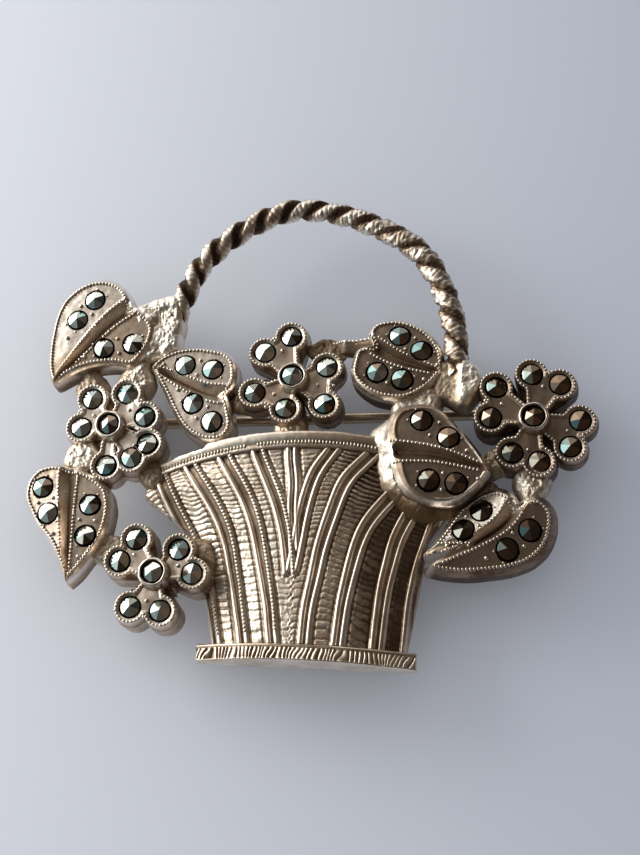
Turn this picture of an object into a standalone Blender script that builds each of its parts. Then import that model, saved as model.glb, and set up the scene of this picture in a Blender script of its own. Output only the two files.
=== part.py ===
"""Flower-basket brooch: silver castings set with marcasites, a rope handle and a pin with a roller catch.

Frame: +X to the right as worn, +Z up, the front faces -Y. Y = 0 is the flat back of the castings.
Lengths below are millimetres; MM turns them into Blender's metres.
"""
import math

import bmesh
import bpy
from mathutils import Matrix, Vector

MM = 0.001
GAP = 0.03              # clearance left between soldered neighbours

# Stones and their seats
STONE_RADIUS = 0.70
STONE_GIRDLE = 0.22
STONE_CROWN = 0.42
SEAT_CLEARANCE = 0.05
SEAT_DEPTH = 0.42
CEMENT_THICKNESS = 0.12
CEMENT_HALF_WIDTH = 0.30

# Leaves: height range above the back, then the shape of the lobes
LEAF_TOP = 2.1
LEAF_STATIONS = 10
VEIN_DEPTH = 0.75
WALL_CHAMFER = 0.35
INNER_EDGE = 0.24       # fraction of the way from vein to outline where the flat plane starts
OUTER_EDGE = 0.90       # and where it ends

# Flowers
FLOWER_TOP = 2.0
PETAL_RADIUS = 1.18
FLOWER_SIDES = 60
CUP_RADIUS = 1.08
CUP_HEIGHT = 0.75
CUP_FLOOR = 0.15

# Basket
BASKET_EDGE = 0.7       # thickness at the sides
BASKET_BULGE = 1.6      # extra thickness in the middle
BASKET_COLUMNS = 16
BAND_PROUD = 0.35

# Rope handle
ROPE_HEIGHT = 1.1       # height of its centre line above the back
STRAND_RADIUS = 0.42
ROPE_PITCH = 4.0
STRAND_OFFSET = 0.445
STATIONS_PER_TURN = 9
STRAND_SIDES = 6

# Pin, hinge and catch, all behind the back plane
PIN_LEVEL = 11.5        # Z of the pin
PIN_BEHIND = 2.2        # distance of its centre line behind the back plane
PIN_RADIUS = 0.40
HINGE_X = -13.3
CATCH_X = 15.7
KNUCKLE_RADIUS = 0.95
KNUCKLE_HALF_HEIGHT = 0.45
RIVET_RADIUS = 0.35
CHEEK_THICKNESS = 0.45
ROLLER_INNER = 0.52
ROLLER_OUTER = 0.86
HOUSING_INNER = 0.91
HOUSING_OUTER = 1.25
CATCH_LENGTH = 1.6

# Leaves: vein (notch, middle, tip), then the two lobes' outlines from notch to tip, then their stones,
# two in each lobe. All are (x, z) from the front.
LEAVES = {
    "leaf_upper_left": {
        "vein": ((-12.7, 19.1), (-16.0, 16.7), (-18.1, 13.2)),
        "lobes": (((-13.4, 20.5), (-14.9, 21.2), (-16.6, 20.8), (-18.0, 19.3), (-18.5, 16.8), (-18.5, 14.5)),
                  ((-11.3, 18.0), (-11.0, 16.7), (-12.2, 14.6), (-13.8, 14.7), (-15.8, 14.5))),
        "stones": (((-15.4, 19.6), (-16.6, 18.1)), ((-14.5, 15.8), (-12.4, 16.1))),
    },
    "leaf_inner_left": {
        "vein": ((-5.5, 12.0), (-8.5, 13.1), (-10.9, 14.3)),
        "lobes": (((-4.9, 13.1), (-5.3, 14.9), (-6.9, 15.5), (-8.4, 15.6), (-9.9, 15.2)),
                  ((-5.1, 10.5), (-5.1, 9.4), (-5.9, 8.7), (-7.2, 8.9), (-8.5, 9.9), (-9.8, 12.3))),
        "stones": (((-8.5, 14.3), (-6.5, 13.9)), ((-7.8, 11.4), (-6.4, 10.0))),
    },
    "leaf_top_right": {
        "vein": ((4.9, 15.3), (7.1, 13.9), (9.6, 13.3)),
        "lobes": (((4.6, 16.6), (6.1, 17.3), (7.9, 16.9), (9.1, 15.8), (9.6, 14.6)),
                  ((3.8, 14.9), (3.5, 13.0), (4.5, 11.9), (5.7, 11.4), (7.2, 11.4), (8.6, 12.2))),
        "stones": (((6.7, 16.0), (8.2, 14.9)), ((5.2, 13.2), (6.9, 12.7))),
    },
    "leaf_centre_right": {
        "vein": ((6.3, 6.9), (9.7, 6.5), (12.9, 5.7)),
        "lobes": (((6.0, 8.4), (6.6, 9.9), (8.1, 10.4), (9.6, 10.0), (11.4, 8.0), (12.4, 6.6)),
                  ((6.6, 5.6), (7.3, 4.2), (9.1, 3.4), (10.8, 3.6), (12.2, 4.7))),
        "stones": (((8.4, 9.1), (10.2, 7.9)), ((8.9, 4.9), (10.7, 4.7))),
    },
    "leaf_lower_left": {
        "vein": ((-16.4, 6.8), (-16.4, 3.3), (-16.1, -1.3)),
        "lobes": (((-17.6, 7.1), (-19.0, 6.6), (-19.5, 5.0), (-18.6, 3.1), (-17.7, 2.0), (-16.9, 0.6)),
                  ((-15.3, 6.5), (-13.7, 5.3), (-13.4, 3.8), (-13.7, 2.1), (-14.5, 0.7), (-15.4, -0.6))),
        "stones": (((-18.2, 5.5), (-17.7, 3.6)), ((-14.7, 4.1), (-14.9, 1.9))),
    },
    "leaf_lower_right": {
        "vein": ((14.7, 3.6), (12.0, 1.2), (8.4, -0.8)),
        "lobes": (((13.9, 4.6), (12.7, 4.7), (11.3, 4.1), (10.4, 2.9), (9.4, 1.4), (8.6, 0.2)),
                  ((15.6, 4.2), (16.9, 3.5), (17.1, 2.0), (16.2, 0.1), (14.4, -0.8), (12.4, -1.1), (10.4, -1.2))),
        "stones": (((12.3, 3.1), (11.1, 1.8)), ((15.5, 1.7), (14.0, 0.4))),
    },
}
LEAF_TOPS = {"leaf_centre_right": 3.5}

# Flowers: centre (x, z), petals' stones as offsets from the centre (two share a petal), and arms that
# reach a soldered neighbour as (offset x, offset z, radius)
FLOWERS = {
    "flower_top": {
        "centre": (-0.7, 13.0),
        "petals": (((-0.3, 3.3), (-2.1, 2.1)), ((-2.7, -1.0), (-0.5, -2.2)), ((2.2, -1.9), (2.3, 0.9))),
        "arms": ((-0.4, -3.5, 0.5),),
    },
    "flower_right": {
        "centre": (15.9, 9.5),
        "petals": (((-2.5, 2.3), (-2.9, 0.1)), ((-0.1, 3.3), (1.8, 2.6)),
                   ((3.1, 0.0), (2.4, -1.9)), ((0.3, -3.0), (-1.5, -2.4))),
        "arms": ((-0.1, -4.5, 0.5),),
    },
    "flower_left": {
        "centre": (-13.6, 9.8),
        "petals": (((-1.5, 2.2), (-2.2, 0.1)), ((1.0, 2.5), (2.4, 0.7)), ((2.7, -1.3), (1.6, -2.3)), ((-0.2, -2.8),)),
        "arms": ((0.6, 4.1, 0.5),),
    },
    "flower_bottom_left": {
        "centre": (-9.7, -1.1),
        "petals": (((-1.4, 2.5), (-2.5, 1.0)), ((-1.6, -2.2), (0.5, -2.5)), ((2.6, 0.0), (1.6, 1.7))),
        "arms": ((-4.2, 1.7, 0.5),),
    },
}
FLOWER_TOPS = {"flower_bottom_left": 2.6}
FLOWER_CORE = 1.35

# Solder sockets and twigs: outlines (x, z) and top height
BRIDGES = {
    "handle_socket_left": (((-11.6, 19.7), (-10.4, 20.5), (-8.7, 19.9), (-8.6, 17.9), (-9.3, 15.9),
                            (-10.9, 14.4), (-11.7, 16.6)), 1.9),
    "handle_socket_right": (((9.4, 13.0), (10.0, 14.6), (11.5, 14.6), (12.6, 13.4), (12.5, 11.4),
                             (11.6, 10.9), (10.5, 11.9)), 1.9),
    "twig_top": (((1.4, 14.9), (1.9, 16.2), (3.2, 16.3), (4.6, 16.0), (4.4, 15.0), (3.0, 14.9)), 1.4),
    "twig_right": (((6.3, 10.2), (6.3, 11.6), (7.8, 12.4), (9.2, 12.2), (9.4, 10.6), (8.0, 9.8)), 1.6),
    "twig_left": (((-17.0, 7.3), (-16.6, 8.7), (-15.4, 9.2), (-14.6, 8.2), (-15.2, 6.7)), 1.7),
}

# Basket edges as (x, z) up each side, and the bands above and below
BASKET_LEFT = ((-6.0, -5.6), (-6.5, -2.4), (-6.8, 0.5), (-7.2, 2.2), (-9.4, 4.0), (-11.3, 5.6), (-10.3, 6.9))
BASKET_RIGHT = ((7.2, -6.1), (8.0, -1.8), (8.4, 0.8), (8.8, 2.4), (10.1, 4.0), (11.2, 5.4), (10.3, 6.6))
BASKET_AXIS = -0.5
RIM_ARCH = 0.0144       # how much the rim's arch drops at the square of the distance from its axis
RIM_TOP = 9.0
RIM_HEIGHT = 0.92
FOOT_SLOPE = -0.054
FOOT_BOTTOM = -7.07
FOOT_HEIGHT = 1.15
RIM_ENDS = (-10.1, 9.9)
FOOT_ENDS = (-6.9, 7.9)

# Centre line of the rope handle
HANDLE = ((-9.3, 19.0), (-8.0, 22.2), (-5.0, 25.0), (-0.8, 26.6), (3.5, 25.5), (7.7, 23.0), (9.9, 19.0), (10.8, 14.0))

# Neighbours that a piece is cut back from
CLEAR_OF = {
    "leaf_centre_right": ("basket_panel", "basket_rim"),
    "leaf_lower_right": ("basket_panel", "leaf_centre_right"),
    "flower_bottom_left": ("basket_panel",),
    "flower_left": ("leaf_upper_left", "leaf_lower_left", "basket_rim", "basket_panel"),
    "flower_right": ("leaf_lower_right", "leaf_centre_right"),
    "flower_top": ("basket_rim", "leaf_inner_left", "leaf_top_right"),
    "leaf_inner_left": ("basket_rim",),
    "handle_socket_left": ("leaf_upper_left", "leaf_inner_left"),
    "handle_socket_right": ("leaf_top_right", "flower_right"),
    "twig_top": ("flower_top", "leaf_top_right"),
    "twig_right": ("leaf_top_right", "leaf_centre_right"),
    "twig_left": ("flower_left", "leaf_lower_left"),
}


def clear_scene():
    for obj in list(bpy.data.objects):
        bpy.data.objects.remove(obj, do_unlink=True)


def new_material(name, colour, roughness, metallic):
    material = bpy.data.materials.new(name)
    material.use_nodes = True
    shader = material.node_tree.nodes["Principled BSDF"]
    shader.inputs["Base Color"].default_value = (*colour, 1.0)
    shader.inputs["Roughness"].default_value = roughness
    shader.inputs["Metallic"].default_value = metallic
    return material


def place(x, z, height):
    """A point given as seen from the front, and its height above the back plane."""
    return Vector((x, -height, z))


def finish(name, bm, material, origin=(0.0, 0.0, 0.0)):
    """Turn a bmesh in millimetres into a named object whose origin is at the given point."""
    bmesh.ops.recalc_face_normals(bm, faces=bm.faces)
    bm.transform(Matrix.Translation(-Vector(origin)))
    bm.transform(Matrix.Scale(MM, 4))
    mesh = bpy.data.meshes.new(name)
    bm.to_mesh(mesh)
    bm.free()
    mesh.materials.append(material)
    obj = bpy.data.objects.new(name, mesh)
    obj.location = Vector(origin) * MM
    bpy.context.collection.objects.link(obj)
    return obj


def as_cutter(obj):
    obj.hide_render = True
    obj.display_type = "WIRE"
    return obj


def boolean(obj, other, operation):
    modifier = obj.modifiers.new(f"{operation.lower()}_{other.name}", "BOOLEAN")
    modifier.operation = operation
    modifier.solver = "EXACT"
    modifier.object = other


def smooth_curve(points, count):
    """Catmull-Rom curve through the points, as count + 1 points evenly spaced along it."""
    knots = [Vector(p) for p in points]
    knots = [2 * knots[0] - knots[1]] + knots + [2 * knots[-1] - knots[-2]]
    fine = []
    for a, b, c, d in zip(knots, knots[1:], knots[2:], knots[3:]):
        for step in range(12):
            t = step / 12
            fine.append(0.5 * (2 * b + (c - a) * t + (2 * a - 5 * b + 4 * c - d) * t * t
                               + (3 * b - a - 3 * c + d) * t ** 3))
    fine.append(knots[-2])
    reach = [0.0]
    for a, b in zip(fine, fine[1:]):
        reach.append(reach[-1] + (b - a).length)
    result = []
    index = 0
    for step in range(count + 1):
        target = reach[-1] * step / count
        while index < len(fine) - 2 and reach[index + 1] < target:
            index += 1
        span = max(reach[index + 1] - reach[index], 1e-9)
        result.append(fine[index].lerp(fine[index + 1], (target - reach[index]) / span))
    return result


def prism(outline, low, high):
    """Closed bmesh between two heights over an outline of (x, z) points."""
    bm = bmesh.new()
    bottom = [bm.verts.new(place(x, z, low)) for x, z in outline]
    top = [bm.verts.new(place(x, z, high)) for x, z in outline]
    bm.faces.new(bottom)
    bm.faces.new(top)
    count = len(outline)
    for i in range(count):
        j = (i + 1) % count
        bm.faces.new((bottom[i], bottom[j], top[j], top[i]))
    return bm


def circle(centre, radius, sides, phase=0.0):
    return [(centre[0] + radius * math.cos(2 * math.pi * i / sides + phase),
             centre[1] + radius * math.sin(2 * math.pi * i / sides + phase)) for i in range(sides)]


def stadium(first, second, radius, end_sides=7):
    """Outline of the slot that a disc sweeps from the first point to the second."""
    ax, az = first
    bx, bz = second
    heading = math.atan2(bz - az, bx - ax)
    outline = []
    for centre, start in ((second, heading - math.pi / 2), (first, heading + math.pi / 2)):
        for i in range(end_sides + 1):
            angle = start + math.pi * i / end_sides
            outline.append((centre[0] + radius * math.cos(angle), centre[1] + radius * math.sin(angle)))
    return outline


# ---------------------------------------------------------------- leaves

def leaf_bmesh(spec, top, grow=0.0):
    """Heart-shaped leaf: a vein groove between two flat lobes, on a straight wall down to the back."""
    stations = LEAF_STATIONS
    vein = smooth_curve(spec["vein"], stations)
    middle = sum(vein, Vector((0.0, 0.0))) / len(vein)
    notch, _, tip = spec["vein"]
    sides = []
    for lobe in spec["lobes"]:
        outline = smooth_curve((notch, *lobe, tip), stations)
        sides.append([p + (p - middle).normalized() * grow for p in outline])
    ends = [p + (p - middle).normalized() * grow for p in (vein[0], vein[-1])]
    base = -grow
    end_height = top - WALL_CHAMFER + grow
    profile = ((INNER_EDGE, top + grow), (OUTER_EDGE, top + grow), (1.0, end_height))
    bm = bmesh.new()
    first = bm.verts.new(place(*ends[0], end_height - WALL_CHAMFER))
    last = bm.verts.new(place(*ends[1], end_height))
    spine = [first]
    for i in range(1, stations):
        fade = math.sin(math.pi * i / stations) ** 0.5
        spine.append(bm.verts.new(place(*vein[i], end_height - (VEIN_DEPTH - WALL_CHAMFER) * fade)))
    spine.append(last)
    rims = []
    for outline in sides:
        inner = spine
        for fraction, height in profile:
            row = [first]
            for i in range(1, stations):
                spot = vein[i].lerp(outline[i], fraction)
                width = (outline[i] - vein[i]).length
                share = min(1.0, width / 1.2)
                row.append(bm.verts.new(place(*spot, end_height + (height - end_height) * share)))
            row.append(last)
            for i in range(stations):
                corners = (inner[i], inner[i + 1], row[i + 1], row[i])
                bm.faces.new(list(dict.fromkeys(corners)))
            inner = row
        rims.append(inner)
    loop = rims[0] + rims[1][-2:0:-1]
    bottom = [bm.verts.new(Vector((v.co.x, -base, v.co.z))) for v in loop]
    for i in range(len(loop)):
        j = (i + 1) % len(loop)
        bm.faces.new((loop[i], loop[j], bottom[j], bottom[i]))
    bm.faces.new(bottom)
    return bm


# ---------------------------------------------------------------- flowers

def flower_outline(spec, grow=0.0):
    """Outline around the petals' discs and the arms, as the farthest disc along each ray."""
    discs = [(x, z, PETAL_RADIUS) for petal in spec["petals"] for x, z in petal]
    discs += list(spec["arms"])
    cx, cz = spec["centre"]
    outline = []
    for i in range(FLOWER_SIDES):
        angle = 2 * math.pi * i / FLOWER_SIDES
        dx, dz = math.cos(angle), math.sin(angle)
        reach = FLOWER_CORE
        for x, z, radius in discs:
            along = x * dx + z * dz
            aside = x * dz - z * dx
            if along > 0 and abs(aside) < radius:
                reach = max(reach, along + math.sqrt(radius ** 2 - aside ** 2))
        outline.append((cx + (reach + grow) * dx, cz + (reach + grow) * dz))
    return outline


def flower_bmesh(spec, top, grow=0.0):
    outline = flower_outline(spec, grow)
    cx, cz = spec["centre"]
    inner = []
    for x, z in outline:
        reach = math.hypot(x - cx, z - cz)
        share = (reach - WALL_CHAMFER / 2) / reach
        inner.append((cx + (x - cx) * share, cz + (z - cz) * share))
    bm = bmesh.new()
    bottom = [bm.verts.new(place(x, z, -grow)) for x, z in outline]
    edge = [bm.verts.new(place(x, z, top - WALL_CHAMFER + grow)) for x, z in outline]
    face = [bm.verts.new(place(x, z, top + grow)) for x, z in inner]
    count = len(outline)
    for lower, upper in ((bottom, edge), (edge, face)):
        for i in range(count):
            j = (i + 1) % count
            bm.faces.new((lower[i], lower[j], upper[j], upper[i]))
    bm.faces.new(bottom)
    bm.faces.new(face)
    return bm


# ---------------------------------------------------------------- basket

def basket_bulge(across):
    """Thickness at a place across the basket, -1 at its left edge and +1 at its right."""
    return BASKET_EDGE + BASKET_BULGE * (1 - across ** 2)


def rim_drop(x):
    return RIM_ARCH * (x - BASKET_AXIS) ** 2


def foot_line(x):
    return FOOT_BOTTOM + FOOT_SLOPE * x


def slab_bmesh(left, right, low_line, high_line, proud, rows, grow=0.0):
    """Plano-convex slab between two side curves and two level lines."""
    bm = bmesh.new()
    columns = BASKET_COLUMNS
    front = []
    back = []
    for r in range(rows + 1):
        x_left = left[r][0] - grow
        x_right = right[r][0] + grow
        front_row = []
        back_row = []
        for c in range(columns + 1):
            share = c / columns
            x = x_left + (x_right - x_left) * share
            low = low_line(x) - grow
            high = high_line(x) + grow
            z = low + (high - low) * r / rows
            height = basket_bulge(2 * share - 1) + proud + grow
            front_row.append(bm.verts.new(place(x, z, height)))
            back_row.append(bm.verts.new(place(x, z, -grow)))
        front.append(front_row)
        back.append(back_row)
    for r in range(rows):
        for c in range(columns):
            bm.faces.new((front[r][c], front[r][c + 1], front[r + 1][c + 1], front[r + 1][c]))
        bm.faces.new((front[r][0], front[r + 1][0], back[r + 1][0], back[r][0]))
        bm.faces.new((front[r][-1], front[r + 1][-1], back[r + 1][-1], back[r][-1]))
    for r in (0, rows):
        for c in range(columns):
            bm.faces.new((front[r][c], front[r][c + 1], back[r][c + 1], back[r][c]))
    ring = back[0] + [row[-1] for row in back[1:-1]] + back[-1][::-1] + [row[0] for row in back[-2:0:-1]]
    bm.faces.new(ring)
    inside = [v for row in back[1:-1] for v in row[1:-1]]
    bmesh.ops.delete(bm, geom=inside, context="VERTS")
    return bm


def panel_bmesh(grow=0.0):
    rows = 10
    return slab_bmesh(smooth_curve(BASKET_LEFT, rows), smooth_curve(BASKET_RIGHT, rows),
                      lambda x: foot_line(x) + FOOT_HEIGHT + GAP,
                      lambda x: RIM_TOP - RIM_HEIGHT - GAP - rim_drop(x), 0.0, rows, grow)


def rim_bmesh(grow=0.0):
    ends = [[(x, 0.0)] * 2 for x in RIM_ENDS]
    return slab_bmesh(*ends, lambda x: RIM_TOP - RIM_HEIGHT - rim_drop(x), lambda x: RIM_TOP - rim_drop(x),
                      BAND_PROUD, 1, grow)


def foot_bmesh():
    ends = [[(x, 0.0)] * 2 for x in FOOT_ENDS]
    return slab_bmesh(*ends, foot_line, lambda x: foot_line(x) + FOOT_HEIGHT, BAND_PROUD, 1)


# ---------------------------------------------------------------- rope handle

def tube_bmesh(path, radius, sides):
    """Closed tube along a path of 3-D points; radius is one number or one for each point."""
    bm = bmesh.new()
    radii = radius if isinstance(radius, list) else [radius] * len(path)
    rings = []
    side = None
    for i, point in enumerate(path):
        heading = (path[min(i + 1, len(path) - 1)] - path[max(i - 1, 0)]).normalized()
        guide = Vector((0.0, 1.0, 0.0)) if side is None else side
        if side is None and abs(heading.y) > 0.9:
            guide = Vector((0.0, 0.0, 1.0))
        side = (guide - heading * guide.dot(heading)).normalized()
        other = heading.cross(side)
        ring = []
        for k in range(sides):
            angle = 2 * math.pi * k / sides
            ring.append(bm.verts.new(point + (side * math.cos(angle) + other * math.sin(angle)) * radii[i]))
        rings.append(ring)
    for a, b in zip(rings, rings[1:]):
        for k in range(sides):
            m = (k + 1) % sides
            bm.faces.new((a[k], a[m], b[m], b[k]))
    bm.faces.new(rings[0])
    bm.faces.new(rings[-1])
    return bm


def handle_path(count):
    return [place(p.x, p.y, ROPE_HEIGHT) for p in smooth_curve(HANDLE, count)]


def rope_room_path():
    """The handle's centre line, run on a little past both ends."""
    path = handle_path(60)
    start = path[0] + (path[0] - path[1]).normalized() * 0.6
    end = path[-1] + (path[-1] - path[-2]).normalized() * 0.6
    return [start, *path, end]


def strand_path(turn_offset):
    """Helix round the handle's centre line."""
    rough = handle_path(60)
    length = sum((b - a).length for a, b in zip(rough, rough[1:]))
    turns = length / ROPE_PITCH
    count = round(turns * STATIONS_PER_TURN)
    centre = handle_path(count)
    path = []
    for i, point in enumerate(centre):
        heading = (centre[min(i + 1, count)] - centre[max(i - 1, 0)]).normalized()
        outward = Vector((0.0, -1.0, 0.0))
        sideways = heading.cross(outward)
        angle = 2 * math.pi * turns * i / count + turn_offset
        path.append(point + (sideways * math.cos(angle) + outward * math.sin(angle)) * STRAND_OFFSET)
    return path


# ---------------------------------------------------------------- stones

def stone_bmesh(centre, base, phase):
    """Round girdle under a crown of six flat facets that meet in a point."""
    bm = bmesh.new()
    sides = 12
    low = []
    edge = []
    for i in range(sides):
        angle = 2 * math.pi * i / sides + phase
        x = centre[0] + STONE_RADIUS * math.cos(angle)
        z = centre[1] + STONE_RADIUS * math.sin(angle)
        drop = STONE_CROWN if i % 2 == 0 else STONE_CROWN / math.cos(math.pi / 6)
        low.append(bm.verts.new(place(x, z, base)))
        edge.append(bm.verts.new(place(x, z, base + STONE_GIRDLE + STONE_CROWN - drop)))
    apex = bm.verts.new(place(*centre, base + STONE_GIRDLE + STONE_CROWN))
    for i in range(sides):
        j = (i + 1) % sides
        bm.faces.new((low[i], low[j], edge[j], edge[i]))
    for i in range(0, sides, 2):
        bm.faces.new((apex, edge[i], edge[i + 1], edge[(i + 2) % sides]))
    bm.faces.new(low)
    return bm


def add_seat_and_stones(name, host, stones, plane, material, turn):
    """Sink a seat in the host and stand the stones in it on a film of cement."""
    radius = STONE_RADIUS + SEAT_CLEARANCE
    floor = plane - SEAT_DEPTH
    if len(stones) == 2:
        outline = stadium(*stones, radius)
    else:
        outline = circle(stones[0], radius, 14)
    cutter = as_cutter(finish(f"seat_of_{name}", prism(outline, floor, plane + 1.0), material))
    boolean(host, cutter, "DIFFERENCE")
    base = floor + GAP
    pair = finish(name, stone_bmesh(stones[0], base, turn), material)
    if len(stones) == 2:
        second = as_cutter(finish(f"second_of_{name}", stone_bmesh(stones[1], base, turn + 0.7), material))
        (ax, az), (bx, bz) = stones
        across = Vector((bz - az, ax - bx)).normalized() * CEMENT_HALF_WIDTH
        strip = [(ax + across.x, az + across.y), (bx + across.x, bz + across.y),
                 (bx - across.x, bz - across.y), (ax - across.x, az - across.y)]
        cement = as_cutter(finish(f"cement_of_{name}", prism(strip, base + 0.02, base + CEMENT_THICKNESS), material))
        boolean(pair, cement, "UNION")
        boolean(pair, second, "UNION")


def add_centre(name, spec, top, silver, marcasite, turn):
    """Collet soldered on the middle of a flower, with its own stone."""
    centre = spec["centre"]
    floor = top + GAP
    outer = circle(centre, CUP_RADIUS, 14)
    cup = finish(f"{name}_centre_cup", prism(outer, floor, floor + CUP_HEIGHT), silver)
    inner = circle(centre, STONE_RADIUS + SEAT_CLEARANCE, 14)
    cutter = as_cutter(finish(f"bore_of_{name}_cup", prism(inner, floor + CUP_FLOOR, floor + 1.5), silver))
    boolean(cup, cutter, "DIFFERENCE")
    finish(f"{name}_centre_stone", stone_bmesh(centre, floor + CUP_FLOOR + GAP, turn), marcasite)


# ---------------------------------------------------------------- pin and catch

def disc_bmesh(centre, radius, low, high, sides, axis="Z"):
    """Cylinder along X or Z through a point in 3-D."""
    bm = bmesh.new()
    rings = []
    for level in (low, high):
        ring = []
        for i in range(sides):
            angle = 2 * math.pi * i / sides
            c, s = radius * math.cos(angle), radius * math.sin(angle)
            offset = Vector((c, s, level)) if axis == "Z" else Vector((level, c, s))
            ring.append(bm.verts.new(Vector(centre) + offset))
        rings.append(ring)
    for i in range(sides):
        j = (i + 1) % sides
        bm.faces.new((rings[0][i], rings[0][j], rings[1][j], rings[1][i]))
    bm.faces.new(rings[0])
    bm.faces.new(rings[1])
    return bm


def box_bmesh(low, high):
    bm = bmesh.new()
    size = Vector(high) - Vector(low)
    middle = (Vector(high) + Vector(low)) / 2
    bmesh.ops.create_cube(bm, size=1.0, matrix=Matrix.Translation(middle) @ Matrix.Diagonal((*size, 1.0)))
    return bm


def open_ring_bmesh(centre, inner, outer, low, high, opening, sides=18):
    """Length of split tube along X with its mouth toward the rear."""
    bm = bmesh.new()
    sections = []
    for i in range(sides + 1):
        angle = opening + (2 * math.pi - 2 * opening) * i / sides
        section = []
        for radius, level in ((inner, low), (outer, low), (outer, high), (inner, high)):
            offset = Vector((level, radius * math.cos(angle), radius * math.sin(angle)))
            section.append(bm.verts.new(Vector(centre) + offset))
        sections.append(section)
    for a, b in zip(sections, sections[1:]):
        for k in range(4):
            m = (k + 1) % 4
            bm.faces.new((a[k], a[m], b[m], b[k]))
    bm.faces.new(sections[0])
    bm.faces.new(sections[-1])
    return bm


def add_hinge(metal):
    centre = (HINGE_X, PIN_BEHIND, PIN_LEVEL)
    inside = KNUCKLE_HALF_HEIGHT + 0.04
    outside = inside + CHEEK_THICKNESS
    reach = KNUCKLE_RADIUS
    low = (HINGE_X - reach, GAP, PIN_LEVEL - outside)
    high = (HINGE_X + reach, PIN_BEHIND + reach * 0.8, PIN_LEVEL + outside)
    base = finish("hinge_base", box_bmesh(low, high), metal, centre)
    slot_low = (HINGE_X - 2.0, 0.6, PIN_LEVEL - inside)
    slot_high = (HINGE_X + 2.0, PIN_BEHIND + 2.0, PIN_LEVEL + inside)
    boolean(base, as_cutter(finish("slot_of_hinge_base", box_bmesh(slot_low, slot_high), metal)), "DIFFERENCE")
    bore = disc_bmesh(centre, RIVET_RADIUS + GAP, -2.0, 2.0, 20)
    boolean(base, as_cutter(finish("bore_of_hinge_base", bore, metal)), "DIFFERENCE")

    rivet = finish("hinge_rivet", disc_bmesh(centre, RIVET_RADIUS, -outside - 0.2, outside + 0.2, 20), metal, centre)
    for sign in (-1, 1):
        near, far = sorted((sign * (outside + GAP), sign * (outside + 0.32)))
        head = as_cutter(finish(f"rivet_head_{'low' if sign < 0 else 'high'}",
                                disc_bmesh(centre, RIVET_RADIUS + 0.25, near, far, 20), metal))
        boolean(rivet, head, "UNION")

    tip = CATCH_X + 1.6
    path = [Vector((x, PIN_BEHIND, PIN_LEVEL)) for x in (HINGE_X + 0.6, tip - 3.5, tip - 1.2, tip)]
    stem = tube_bmesh(path, [PIN_RADIUS, PIN_RADIUS, PIN_RADIUS * 0.7, 0.06], 12)
    pin = finish("pin_stem", stem, metal, centre)
    knuckle = disc_bmesh(centre, KNUCKLE_RADIUS, -KNUCKLE_HALF_HEIGHT, KNUCKLE_HALF_HEIGHT, 24)
    boolean(pin, as_cutter(finish("knuckle_of_pin", knuckle, metal)), "UNION")
    bore = disc_bmesh(centre, RIVET_RADIUS + 0.06, -2.0, 2.0, 20)
    boolean(pin, as_cutter(finish("bore_of_pin", bore, metal)), "DIFFERENCE")


def add_catch(metal):
    centre = (CATCH_X, PIN_BEHIND, PIN_LEVEL)
    half = CATCH_LENGTH / 2
    mouth = math.radians(50)
    housing = open_ring_bmesh(centre, HOUSING_INNER, HOUSING_OUTER, -half, half, mouth)
    base = finish("catch_base", housing, metal, centre)
    foot_low = (CATCH_X - half, GAP, PIN_LEVEL - 0.7)
    foot_high = (CATCH_X + half, PIN_BEHIND - HOUSING_INNER - 0.12, PIN_LEVEL + 0.7)
    boolean(base, as_cutter(finish("foot_of_catch_base", box_bmesh(foot_low, foot_high), metal)), "UNION")

    flange = half + 0.05
    ring = open_ring_bmesh(centre, ROLLER_INNER, ROLLER_OUTER, -half, flange + 0.4, mouth)
    roller = finish("catch_roller", ring, metal, centre)
    tab = box_bmesh((flange, 0.62, -0.3), (flange + 0.4, 1.75, 0.3))
    tab.transform(Matrix.Translation(centre) @ Matrix.Rotation(math.radians(70), 4, "X"))
    boolean(roller, as_cutter(finish("tab_of_roller", tab, metal)), "UNION")


# ---------------------------------------------------------------- assembly

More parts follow.
